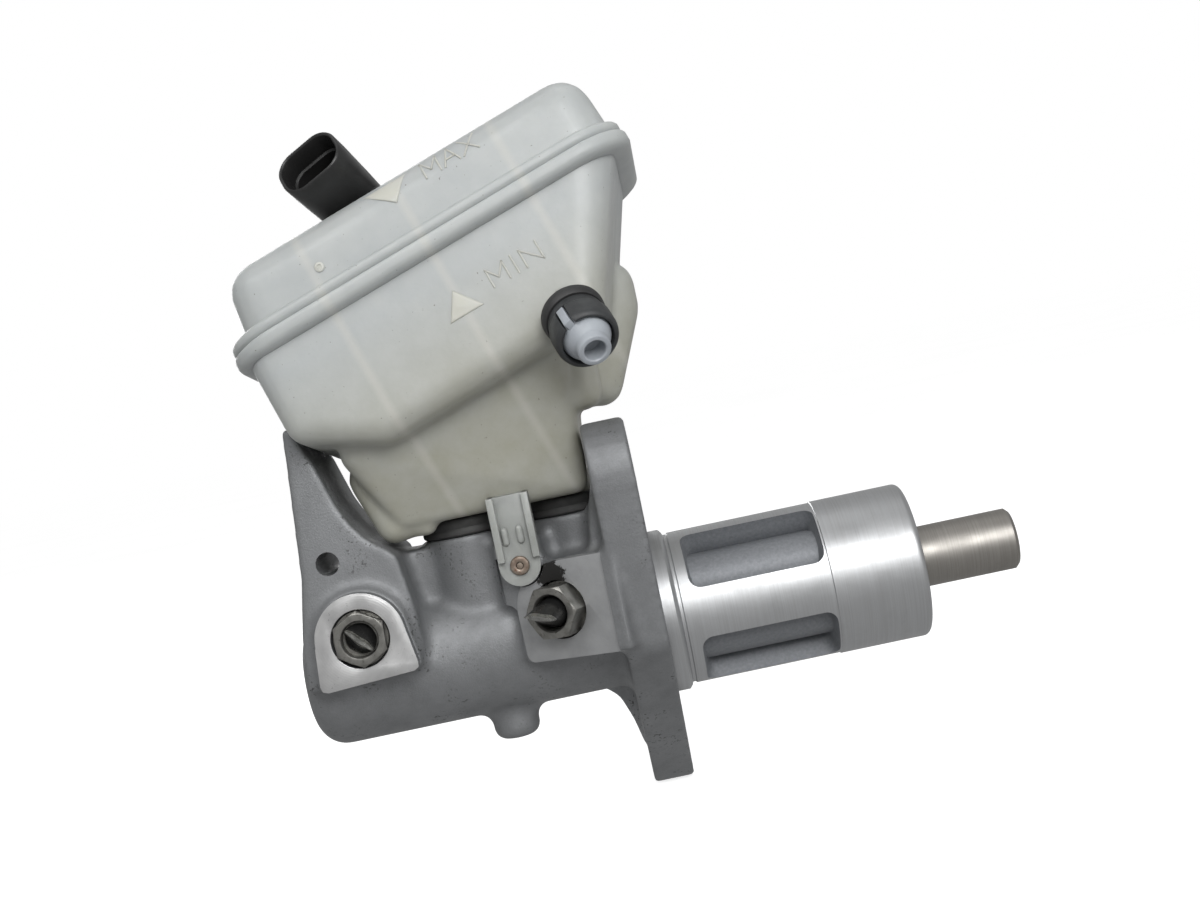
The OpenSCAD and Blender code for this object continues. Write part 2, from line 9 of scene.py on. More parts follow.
import logging
import math
from dataclasses import dataclass, field
from enum import Enum
from typing import Callable, Iterable, Sequence

import bmesh
import bpy
from mathutils import Matrix, Vector


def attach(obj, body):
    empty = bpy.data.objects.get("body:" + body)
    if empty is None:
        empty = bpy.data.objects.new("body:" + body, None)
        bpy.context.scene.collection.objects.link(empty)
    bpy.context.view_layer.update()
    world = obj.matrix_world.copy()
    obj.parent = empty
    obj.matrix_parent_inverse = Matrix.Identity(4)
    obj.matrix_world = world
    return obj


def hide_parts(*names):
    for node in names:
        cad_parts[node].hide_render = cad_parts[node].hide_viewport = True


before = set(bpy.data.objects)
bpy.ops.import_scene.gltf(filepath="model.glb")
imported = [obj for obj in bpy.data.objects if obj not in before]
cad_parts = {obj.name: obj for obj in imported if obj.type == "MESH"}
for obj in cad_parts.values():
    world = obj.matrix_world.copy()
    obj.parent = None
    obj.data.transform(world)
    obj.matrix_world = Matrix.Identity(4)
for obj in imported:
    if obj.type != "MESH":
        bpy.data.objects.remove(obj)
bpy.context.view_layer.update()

MM = 0.001
LOG = logging.getLogger("master_cylinder")

Point = tuple[float, float]
Colour = tuple[float, float, float]


class Body(Enum):
    """The rigid bodies that carry the pieces made here."""

    CASTING = "casting"
    CAP = "cap"


class Cut(Enum):
    """What a boolean does with its tool."""

    AWAY = "DIFFERENCE"
    COMMON = "INTERSECT"


# ---------------------------------------------------------------- places


@dataclass(frozen=True)
class Place:
    """A local frame in millimetres, held as a matrix into the row frame."""

    matrix: Matrix = field(default_factory=lambda: Matrix.Identity(4))

    @classmethod
    def at(cls, x: float, y: float, z: float) -> "Place":
        """A frame moved to a point and not turned."""
        return cls(Matrix.Translation((x, y, z)))

    def turned(self, axis: str, degrees: float) -> "Place":
        """This frame turned about one of its own axes."""
        return Place(self.matrix @ Matrix.Rotation(math.radians(degrees), 4, axis))

    def moved(self, x: float, y: float, z: float) -> "Place":
        """This frame moved along its own axes."""
        return Place(self.matrix @ Matrix.Translation((x, y, z)))

    def row(self, x: float, y: float, z: float) -> Vector:
        """A local point in millimetres as a row-frame point in metres."""
        return (self.matrix @ Vector((x, y, z))) * MM


ROW = Place()
ALONG_BORE = Place().turned("Y", 90)


def arc(cx: float, cy: float, r: float, start: float, end: float, steps: int = 12) -> list[Point]:
    """Points along a circular arc.

    Args:
        cx: Centre, first coordinate.
        cy: Centre, second coordinate.
        r: Radius.
        start: First angle in degrees.
        end: Last angle in degrees.
        steps: Number of stretches.

    Returns:
        The points, both ends included.
    """
    angles = [math.radians(start + (end - start) * i / steps) for i in range(steps + 1)]
    return [(cx + r * math.cos(a), cy + r * math.sin(a)) for a in angles]


def rounded_rect(box: Sequence[float], r: float, steps: int = 8) -> list[Point]:
    """Outline of a rectangle with round corners.

    Args:
        box: Low x, low y, high x, high y.
        r: Corner radius.
        steps: Stretches per corner.

    Returns:
        The outline, anticlockwise.
    """
    x0, y0, x1, y1 = box
    corners = [(x1 - r, y1 - r, 0), (x0 + r, y1 - r, 90), (x0 + r, y0 + r, 180), (x1 - r, y0 + r, 270)]
    points: list[Point] = []
    for cx, cy, start in corners:
        points += arc(cx, cy, max(r, 0.01), start, start + 90, steps)
    return points


def around_circles(circles: Sequence[tuple[float, float, float]], steps: int = 10) -> list[Point]:
    """Outline of a belt pulled tight around circles.

    Args:
        circles: (x, y, r) of each circle, anticlockwise.
        steps: Stretches per arc.

    Returns:
        The outline, anticlockwise.
    """
    turns = []
    for a, b in zip(circles, [*circles[1:], circles[0]]):
        dx, dy = b[0] - a[0], b[1] - a[1]
        lean = math.degrees(math.acos((a[2] - b[2]) / math.hypot(dx, dy)))
        turns.append(math.degrees(math.atan2(dy, dx)) - lean)
    points: list[Point] = []
    for i, (cx, cy, r) in enumerate(circles):
        start, end = turns[i - 1], turns[i]
        while end < start:
            end += 360
        points += arc(cx, cy, r, start, end, steps)
    return points


# ---------------------------------------------------------------- meshes


def to_object(name: str, mesh_tool: bmesh.types.BMesh) -> bpy.types.Object:
    """Turns a finished bmesh into an object in the scene.

    Args:
        name: Name of the object.
        mesh_tool: Finished bmesh, used up here.

    Returns:
        The object.
    """
    bmesh.ops.recalc_face_normals(mesh_tool, faces=mesh_tool.faces)
    mesh = bpy.data.meshes.new(name)
    mesh_tool.to_mesh(mesh)
    mesh_tool.free()
    made = bpy.data.objects.new(name, mesh)
    bpy.context.scene.collection.objects.link(made)
    return made


def rings_object(name: str, rings: Sequence[Sequence[Vector]]) -> bpy.types.Object:
    """A closed skin through rings of points, capped at both ends.

    Args:
        name: Name of the object.
        rings: Rings with the same number of points.

    Returns:
        The object.
    """
    tool = bmesh.new()
    rows = [[tool.verts.new(p) for p in ring] for ring in rings]
    count = len(rows[0])
    for one, two in zip(rows, rows[1:]):
        for i in range(count):
            j = (i + 1) % count
            tool.faces.new((one[i], one[j], two[j], two[i]))
    tool.faces.new(list(reversed(rows[0])))
    tool.faces.new(rows[-1])
    bmesh.ops.remove_doubles(tool, verts=tool.verts, dist=1e-7)
    return to_object(name, tool)


def lathe(name: str, place: Place, profile: Sequence[Point], steps: int = 96,
          loop: bool = False) -> bpy.types.Object:
    """A turned piece about the local Z axis.

    Args:
        name: Name of the object.
        place: Its frame.
        profile: (radius, height) points from one end to the other.
        steps: Points around.
        loop: True when the last point joins the first, as in a ring.

    Returns:
        The object.
    """
    tool = bmesh.new()
    ways = [(math.cos(2 * math.pi * i / steps), math.sin(2 * math.pi * i / steps)) for i in range(steps)]
    rows = []
    for r, h in profile:
        if r < 1e-6:
            rows.append([tool.verts.new(place.row(0, 0, h))] * steps)
        else:
            rows.append([tool.verts.new(place.row(r * c, r * s, h)) for c, s in ways])
    pairs = list(zip(rows, rows[1:])) + ([(rows[-1], rows[0])] if loop else [])
    for one, two in pairs:
        for i in range(steps):
            j = (i + 1) % steps
            corner = list(dict.fromkeys((one[i], one[j], two[j], two[i])))
            if len(corner) > 2:
                tool.faces.new(corner)
    if not loop:
        for row in (rows[0], rows[-1]):
            if row[0] is not row[1]:
                tool.faces.new(row)
    return to_object(name, tool)


def extrude(name: str, place: Place, outline: Sequence[Point], low: float, high: float) -> bpy.types.Object:
    """An outline in the local XY plane, pulled from one height to another."""
    return rings_object(name, [[place.row(x, y, h) for x, y in outline] for h in (low, high)])


def loft(name: str, place: Place, box: Sequence[float], r: float, steps: Sequence[Point]) -> bpy.types.Object:
    """A rounded rectangle carried through (inset, height) steps.

    Args:
        name: Name of the object.
        place: Its frame.
        box: Low x, low y, high x, high y with no inset.
        r: Corner radius with no inset.
        steps: (inset, height) of each ring, in order along the skin.

    Returns:
        The object.
    """
    rings = []
    for inset, height in steps:
        grown = (box[0] + inset, box[1] + inset, box[2] - inset, box[3] - inset)
        rings.append([place.row(x, y, height) for x, y in rounded_rect(grown, max(r - inset, 0.1))])
    return rings_object(name, rings)


def hull(name: str, place: Place, balls: Iterable[tuple[float, float, float, float]]) -> bpy.types.Object:
    """The convex skin around balls given as (x, y, z, r).

    Args:
        name: Name of the object.
        place: Its frame.
        balls: Centre and radius of each ball.

    Returns:
        The object.
    """
    tool = bmesh.new()
    for x, y, z, r in balls:
        centre = place.row(x, y, z)
        for lat in range(1, 8):
            for lon in range(16):
                up, around = math.pi * lat / 8, 2 * math.pi * lon / 16
                way = Vector((math.sin(up) * math.cos(around), math.sin(up) * math.sin(around), math.cos(up)))
                tool.verts.new(centre + way * r * MM)
        tool.verts.new(centre + Vector((0, 0, r * MM)))
        tool.verts.new(centre - Vector((0, 0, r * MM)))
    made = bmesh.ops.convex_hull(tool, input=tool.verts)
    spare = [v for v in made["geom_interior"] if isinstance(v, bmesh.types.BMVert)]
    bmesh.ops.delete(tool, geom=spare, context="VERTS")
    return to_object(name, tool)


def join(name: str, parts: Sequence[bpy.types.Object]) -> bpy.types.Object:
    """Puts the meshes of several objects, with their materials, into one new object.

    Args:
        name: Name of the new object.
        parts: Objects to use up.

    Returns:
        The new object.
    """
    tool = bmesh.new()
    slots: list[bpy.types.Material] = []
    for part in parts:
        order = []
        for material in part.data.materials:
            if material not in slots:
                slots.append(material)
            order.append(slots.index(material))
        before = len(tool.faces)
        tool.from_mesh(part.data)
        tool.faces.ensure_lookup_table()
        for face in tool.faces[before:]:
            face.material_index = order[face.material_index] if order else 0
        bpy.data.objects.remove(part)
    mesh = bpy.data.meshes.new(name)
    tool.to_mesh(mesh)
    tool.free()
    for material in slots:
        mesh.materials.append(material)
    made = bpy.data.objects.new(name, mesh)
    bpy.context.scene.collection.objects.link(made)
    return made


def settle(obj: bpy.types.Object) -> None:
    """Bakes an object's modifiers into its mesh.

    Args:
        obj: Object to change.
    """
    graph = bpy.context.evaluated_depsgraph_get()
    mesh = bpy.data.meshes.new_from_object(obj.evaluated_get(graph))
    obj.modifiers.clear()
    obj.data = mesh


def soften(obj: bpy.types.Object, voxel: float, rounds: int, fillet: float = 0.0) -> None:
    """Fuses overlapping skins into one and rounds every edge, as a mould does.

    Args:
        obj: Object to change.
        voxel: Grain of the new skin in millimetres.
        rounds: Passes of smoothing.
        fillet: Radius in millimetres that fills the inner corners first.
    """
    for grow in (fillet, -fillet, 0.0) if fillet else (0.0,):
        remesh = obj.modifiers.new("fuse", "REMESH")
        remesh.mode = "VOXEL"
        remesh.voxel_size = voxel * MM
        if grow:
            swell = obj.modifiers.new("swell", "DISPLACE")
            swell.strength = grow * MM
            swell.mid_level = 0
    smooth = obj.modifiers.new("round", "SMOOTH")
    smooth.factor = 0.5
    smooth.iterations = rounds
    settle(obj)


def shrink(obj: bpy.types.Object, wall: float) -> None:
    """Moves a skin inwards by a wall thickness in millimetres.

    Args:
        obj: Object to change.
        wall: Thickness in millimetres.
    """
    change = obj.modifiers.new("wall", "DISPLACE")
    change.strength = -wall * MM
    change.mid_level = 0
    settle(obj)


def carve(obj: bpy.types.Object, tools: Sequence[bpy.types.Object], how: Cut = Cut.AWAY) -> None:
    """Cuts an object with closed tools and uses the tools up.

    Args:
        obj: Object to change.
        tools: Closed tool objects.
        how: What the cut keeps.
    """
    for tool in tools:
        change = obj.modifiers.new("cut", "BOOLEAN")
        change.operation = how.value
        change.solver = "MANIFOLD"
        change.object = tool
        settle(obj)
        bpy.data.objects.remove(tool)


def bevel(obj: bpy.types.Object, width: float, segments: int = 3, angle: float = 35) -> None:
    """Rounds the sharp edges of a machined or moulded piece.

    Args:
        obj: Object to change.
        width: Width of the rounding in millimetres.
        segments: Stretches across it.
        angle: Least angle in degrees between faces that makes an edge sharp.
    """
    change = obj.modifiers.new("edge", "BEVEL")
    change.width = width * MM
    change.segments = segments
    change.limit_method = "ANGLE"
    change.angle_limit = math.radians(angle)
    change.use_clamp_overlap = True
    settle(obj)


def shade(obj: bpy.types.Object, angle: float = 35) -> None:
    """Shades an object smooth, with creases past an angle in degrees.

    Args:
        obj: Object to change.
        angle: Angle in degrees past which an edge stays crisp.
    """
    for face in obj.data.polygons:
        face.use_smooth = True
    obj.data.set_sharp_from_angle(angle=math.radians(angle))


def paint(obj: bpy.types.Object, *materials: bpy.types.Material) -> None:
    """Gives an object its material slots.

    Args:
        obj: Object to change.
        materials: One per slot, in order.
    """
    obj.data.materials.clear()
    for material in materials:
        obj.data.materials.append(material)


def repaint(obj: bpy.types.Object, index: int, test: Callable[[Vector, Vector], bool]) -> None:
    """Gives one slot to the faces that pass a test of centre (mm) and normal.

    Args:
        obj: Object to change.
        index: Slot to give.
        test: Says from centre and normal whether a face takes it.
    """
    for face in obj.data.polygons:
        if test(face.center / MM, face.normal):
            face.material_index = index


def place_piece(obj: bpy.types.Object, body: Body, nodes: Sequence[str] = ()) -> bpy.types.Object:
    """Hands a finished piece to the frame.

    Args:
        obj: The piece.
        body: Body that carries it.
        nodes: CAD nodes that it stands for.

    Returns:
        The piece.
    """
    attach(obj, body.value)
    if nodes:
        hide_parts(*nodes)
    LOG.info("%s: %d faces", obj.name, len(obj.data.polygons))
    return obj


# ---------------------------------------------------------------- finishes


@dataclass
class Shader:
    """Builds one node material step by step."""

    name: str

    def __post_init__(self) -> None:
        """Makes the empty material and its coordinates."""
        self.material = bpy.data.materials.new(self.name)
        self.material.use_nodes = True
        self.tree = self.material.node_tree
        self.bsdf = self.tree.nodes["Principled BSDF"]
        self.coords = self.tree.nodes.new("ShaderNodeTexCoord").outputs["Object"]

    def set(self, **values: float | tuple[float, ...]) -> None:
        """Sets sockets of the surface by name, with underscores for spaces."""
        for key, value in values.items():
            self.bsdf.inputs[key.replace("_", " ")].default_value = value

    def link(self, output: bpy.types.NodeSocket, socket: str) -> None:
        """Feeds an output into a socket of the surface."""
        self.tree.links.new(output, self.bsdf.inputs[socket])

    def stretched(self, x: float, y: float, z: float) -> bpy.types.NodeSocket:
        """Object coordinates in millimetres, scaled along each axis.

        Args:
            x: Scale along X.
            y: Scale along Y.
            z: Scale along Z.

        Returns:
            The vector output.
        """
        node = self.tree.nodes.new("ShaderNodeMapping")
        node.inputs["Scale"].default_value = (x / MM, y / MM, z / MM)
        self.tree.links.new(self.coords, node.inputs["Vector"])
        return node.outputs["Vector"]

    def noise(self, size: float, detail: float = 4, rough: float = 0.55,
              vector: bpy.types.NodeSocket | None = None) -> bpy.types.NodeSocket:
        """Cloudy noise.

        Args:
            size: Size of a cloud in millimetres.
            detail: Octaves.
            rough: Weight of the finer octaves.
            vector: Coordinates in millimetres, or None for plain ones.

        Returns:
            The factor output.
        """
        node = self.tree.nodes.new("ShaderNodeTexNoise")
        node.inputs["Scale"].default_value = 1 / size
        node.inputs["Detail"].default_value = detail
        node.inputs["Roughness"].default_value = rough
        self.tree.links.new(vector or self.stretched(1, 1, 1), node.inputs["Vector"])
        return node.outputs["Fac"]

    def ramp(self, factor: bpy.types.NodeSocket, *stops: tuple[float, Colour]) -> bpy.types.NodeSocket:
        """A colour ramp with the given stops.

        Args:
            factor: Value that drives the ramp.
            stops: Position and colour of each stop.

        Returns:
            The colour output.
        """
        node = self.tree.nodes.new("ShaderNodeValToRGB")
        band = node.color_ramp
        while len(band.elements) < len(stops):
            band.elements.new(0.5)
        for element, (position, colour) in zip(band.elements, stops):
            element.position = position
            element.color = (*colour, 1)
        self.tree.links.new(factor, node.inputs["Fac"])
        return node.outputs["Color"]

    def mix(self, factor: bpy.types.NodeSocket, one: bpy.types.NodeSocket | Colour,
            two: bpy.types.NodeSocket | Colour) -> bpy.types.NodeSocket:
        """Mixes two colours by a factor.

        Args:
            factor: Share of the second colour.
            one: First colour.
            two: Second colour.

        Returns:
            The colour output.
        """
        node = self.tree.nodes.new("ShaderNodeMix")
        node.data_type = "RGBA"
        self.tree.links.new(factor, node.inputs["Factor"])
        for socket, value in ((node.inputs[6], one), (node.inputs[7], two)):
            if isinstance(value, tuple):
                socket.default_value = (*value, 1)
            else:
                self.tree.links.new(value, socket)
        return node.outputs[2]

    def band(self, factor: bpy.types.NodeSocket, low: float, high: float,
             out_low: float = 0, out_high: float = 1) -> bpy.types.NodeSocket:
        """Maps one range of a value onto another, clamped.

        Args:
            factor: Value to map.
            low: Start of its range.
            high: End of its range.
            out_low: Result at the start.
            out_high: Result at the end.

        Returns:
            The result output.
        """
        node = self.tree.nodes.new("ShaderNodeMapRange")
        values = (low, high, out_low, out_high)
        for socket, value in zip(("From Min", "From Max", "To Min", "To Max"), values):
            node.inputs[socket].default_value = value
        self.tree.links.new(factor, node.inputs["Value"])
        return node.outputs["Result"]

    def maths(self, what: str, one: bpy.types.NodeSocket | float,
              two: bpy.types.NodeSocket | float = 0.0) -> bpy.types.NodeSocket:
        """One arithmetic step.

        Args:
            what: Operation, by its node name.
            one: First value.
            two: Second value.

        Returns:
            The result output.
        """
        node = self.tree.nodes.new("ShaderNodeMath")
        node.operation = what
        for socket, value in zip(node.inputs, (one, two)):
            if isinstance(value, (int, float)):
                socket.default_value = value
            else:
                self.tree.links.new(value, socket)
        return node.outputs[0]

    def along(self, way: Vector) -> bpy.types.NodeSocket:
        """Distance in millimetres along a direction, from the origin.

        Args:
            way: Direction of unit length.

        Returns:
            The distance output.
        """
        node = self.tree.nodes.new("ShaderNodeVectorMath")
        node.operation = "DOT_PRODUCT"
        self.tree.links.new(self.stretched(1, 1, 1), node.inputs[0])
        node.inputs[1].default_value = way
        return node.outputs["Value"]

    def away_from(self, point: Vector) -> bpy.types.NodeSocket:
        """Distance in millimetres from a point in millimetres.

        Args:
            point: The point.

        Returns:
            The distance output.
        """
        node = self.tree.nodes.new("ShaderNodeVectorMath")
        node.operation = "DISTANCE"
        self.tree.links.new(self.stretched(1, 1, 1), node.inputs[0])
        node.inputs[1].default_value = point
        return node.outputs["Value"]

    def bump(self, height: bpy.types.NodeSocket, depth: float, strength: float = 1) -> None:
        """Adds a bump of a depth in millimetres on top of any before it.

        Args:
            height: Height field.
            depth: Depth in millimetres.
            strength: Share of the effect.
        """
        node = self.tree.nodes.new("ShaderNodeBump")
        node.inputs["Strength"].default_value = strength
        node.inputs["Distance"].default_value = depth * MM
        self.tree.links.new(height, node.inputs["Height"])
        before = self.bsdf.inputs["Normal"].links
        if before:
            self.tree.links.new(before[0].from_socket, node.inputs["Normal"])
        self.tree.links.new(node.outputs["Normal"], self.bsdf.inputs["Normal"])


@dataclass(frozen=True)
class CastFinish:
    """Grey as-cast aluminium with fine grain, dark pits and a dirty bloom."""

    name: str = "cast_aluminium"
    light: Colour = (0.270, 0.277, 0.285)
    dark: Colour = (0.185, 0.190, 0.195)

    def make(self) -> bpy.types.Material:
        """Builds the material.

        Returns:
            The material.
        """
        s = Shader(self.name)
        cloud = s.noise(17, 6, 0.7)
        grain = s.noise(0.5, 3, 0.7)
        pits = s.noise(0.75, 2, 0.5)
        base = s.ramp(cloud, (0.3, self.dark), (0.72, self.light))
        base = s.mix(s.band(grain, 0.35, 0.7, 0, 0.35), base, self.light)
        dirt = s.maths("MULTIPLY", s.band(pits, 0.58, 0.66), s.band(s.noise(16, 4, 0.7), 0.52, 0.62))
        base = s.mix(s.maths("MULTIPLY", dirt, 0.75), base, (0.035, 0.034, 0.032))
        s.link(base, "Base Color")
        s.link(s.band(cloud, 0.3, 0.7, 0.62, 0.46), "Roughness")
        s.set(Metallic=0.55)
        s.bump(grain, 0.12, 0.8)
        s.bump(s.noise(3.5, 3), 0.16, 0.4)
        return s.material


@dataclass(frozen=True)
class PocketFinish:
    """Smoother, darker casting skin, as in the sunk pockets."""

    name: str = "cast_pocket"

    def make(self) -> bpy.types.Material:
        """Builds the material.

        Returns:
            The material.
        """
        s = Shader(self.name)
        grain = s.noise(0.8, 4, 0.6)
        s.link(s.ramp(grain, (0.3, (0.19, 0.20, 0.215)), (0.7, (0.25, 0.26, 0.275))), "Base Color")
        s.set(Metallic=0.35, Roughness=0.55)
        s.bump(grain, 0.08, 0.6)
        return s.material


@dataclass(frozen=True)
class TurnedFinish:
    """Metal with turning lines around the bore axis."""

    name: str
    light: Colour
    dark: Colour
    roughness: float = 0.3
    depth: float = 0.02
    stain: float = 0.25

    def make(self) -> bpy.types.Material:
        """Builds the material.

        Returns:
            The material.
        """
        s = Shader(self.name)
        lines = s.noise(0.3, 2, 0.5, s.stretched(1, 0.012, 0.012))
        broad = s.noise(7, 2, 0.5, s.stretched(1, 0.02, 0.02))
        smear = s.noise(9, 5, 0.65)
        base = s.ramp(lines, (0.3, self.dark), (0.7, self.light))
        base = s.mix(s.band(broad, 0.4, 0.7, 0, 0.2), base, self.light)
        base = s.mix(s.band(smear, 0.55, 0.8, 0, self.stain), base, tuple(c * 0.7 for c in self.dark))
        s.link(base, "Base Color")
        s.link(s.band(smear, 0.3, 0.75, self.roughness, self.roughness + 0.16), "Roughness")
        s.set(Metallic=0.95)
        s.bump(lines, self.depth, 0.5)
        return s.material


@dataclass(frozen=True)
class MilledFinish:
    """Bright spot-faced metal with fine rings about a centre."""

    name: str
    centre: tuple[float, float, float]

    def make(self) -> bpy.types.Material:
        """Builds the material.

        Returns:
            The material.
        """
        s = Shader(self.name)
        far = s.away_from(Vector(self.centre))
        rings = s.maths("SINE", s.maths("MULTIPLY", far, 2 * math.pi / 0.62))
        cloud = s.noise(6, 5, 0.6)
        nicks = s.noise(0.6, 2, 0.5)
        base = s.ramp(cloud, (0.3, (0.46, 0.46, 0.46)), (0.75, (0.60, 0.60, 0.597)))
        base = s.mix(s.band(nicks, 0.70, 0.74, 0, 0.6), base, (0.2, 0.2, 0.2))
        s.link(base, "Base Color")
        s.link(s.band(cloud, 0.3, 0.7, 0.34, 0.46), "Roughness")
        s.set(Metallic=0.7)
        s.bump(rings, 0.008, 0.5)
        return s.material


@dataclass(frozen=True)
class SootyFinish:
    """Faced casting metal, dull grey, with old black grease in one spot."""

    name: str
    spot: Vector

    def make(self) -> bpy.types.Material:
        """Builds the material.

        Returns:
            The material.
        """
        s = Shader(self.name)
        cloud = s.noise(5, 5, 0.65)
        grain = s.noise(0.4, 3, 0.6)
        base = s.ramp(cloud, (0.3, (0.30, 0.305, 0.31)), (0.72, (0.37, 0.375, 0.38)))
        ragged = s.maths("ADD", s.away_from(self.spot), s.maths("MULTIPLY", s.noise(1.8, 6, 0.75), 9.0))
        base = s.mix(s.band(ragged, 8.6, 8.1, 0, 0.97), base, (0.012, 0.011, 0.010))
        s.link(base, "Base Color")
        s.link(s.band(cloud, 0.3, 0.7, 0.5, 0.4), "Roughness")
        s.set(Metallic=0.5)
        s.bump(grain, 0.05, 0.6)
        return s.material


@dataclass(frozen=True)
class PlainFinish:
    """Moulded or plated surface with a fine grain and a slow drift of tone."""

    name: str
    light: Colour
    dark: Colour
    metallic: float = 0.0
    roughness: float = 0.5
    grain: float = 0.5
    depth: float = 0.03
    drift: float = 8.0
    speck: Colour | None = None

    def make(self) -> bpy.types.Material:
        """Builds the material.

        Returns:
            The material.
        """
        s = Shader(self.name)
        cloud = s.noise(self.drift, 5, 0.6)
        fine = s.noise(self.grain, 3, 0.6)
        base = s.ramp(cloud, (0.32, self.dark), (0.7, self.light))
        if self.speck:
            base = s.mix(s.band(s.noise(1.1, 3, 0.6), 0.6, 0.7, 0, 0.8), base, self.speck)
        s.link(base, "Base Color")
        s.link(s.band(cloud, 0.3, 0.7, self.roughness + 0.08, self.roughness - 0.06), "Roughness")
        s.set(Metallic=self.metallic)
        s.bump(fine, self.depth, 0.7)
        return s.material


@dataclass(frozen=True)
class ShellFinish:
    """Translucent reservoir plastic: milky, with the baffles showing through as painted light bands, and a
    warm tint low down.
    """

    name: str
    along: Vector
    rise: Vector
    # Places along the seam of the painted light bands over the baffles.
    baffles: tuple[float, ...]
    cold: Colour = (0.41, 0.43, 0.43)
    warm: Colour = (0.36, 0.355, 0.295)

    def make(self) -> bpy.types.Material:
        """Builds the material.

        Returns:
            The material.
        """
        s = Shader(self.name)
        mottled = s.noise(11, 5, 0.62)
        dust = s.noise(0.9, 2, 0.5)
        high = s.along(self.rise)
        base = s.mix(s.band(high, 62, 96), self.warm, self.cold)
        base = s.mix(s.band(mottled, 0.35, 0.72, 0, 0.4), base, (0.52, 0.535, 0.52))
        place = s.along(self.along)
        # Painted light: a lighter band over each baffle, standing in for light through the translucent wall
        # where the baffle stands.
        for u in self.baffles:
            near = s.maths("ABSOLUTE", s.maths("SUBTRACT", place, u))
            base = s.mix(s.band(near, 1.7, 0.3, 0, 0.35), base, (0.56, 0.555, 0.51))
        base = s.mix(s.band(dust, 0.735, 0.76, 0, 0.7), base, (0.16, 0.15, 0.13))
        s.link(base, "Base Color")
        s.link(s.band(mottled, 0.3, 0.7, 0.46, 0.34), "Roughness")
        s.set(Subsurface_Weight=0.35, Subsurface_Radius=(0.9, 0.9, 0.8), Subsurface_Scale=0.004)
        s.bump(s.noise(7, 3), 0.35, 0.35)
        s.bump(s.noise(0.8, 2), 0.03, 0.4)
        return s.material


# ---------------------------------------------------------------- the cast body


@dataclass
class PipePort:
    """One threaded outlet: its frame, counterbore and thread."""

    place: Place
    ring_r: float = 7.4
    ring_depth: float = 2.6
    thread_r: float = 6.0
    thread_depth: float = 12.5

    def cutter(self, name: str) -> bpy.types.Object:
        """The tool that drills the port.

        Args:
            name: Name of the object.

        Returns:
            The tool.
        """
        z0 = -self.ring_depth
        profile = [(0, 6), (self.ring_r, 6), (self.ring_r, z0), (self.thread_r, z0 - 0.8),
                   (self.thread_r, -self.thread_depth), (0, -self.thread_depth)]
        return lathe(name, self.place, profile, 64)


FRONT_PORT = PipePort(Place.at(-75, -25, 12).turned("X", 90))
REAR_PORT = PipePort(Place.at(-25, -25, 9).turned("Z", -27).turned("X", 90))


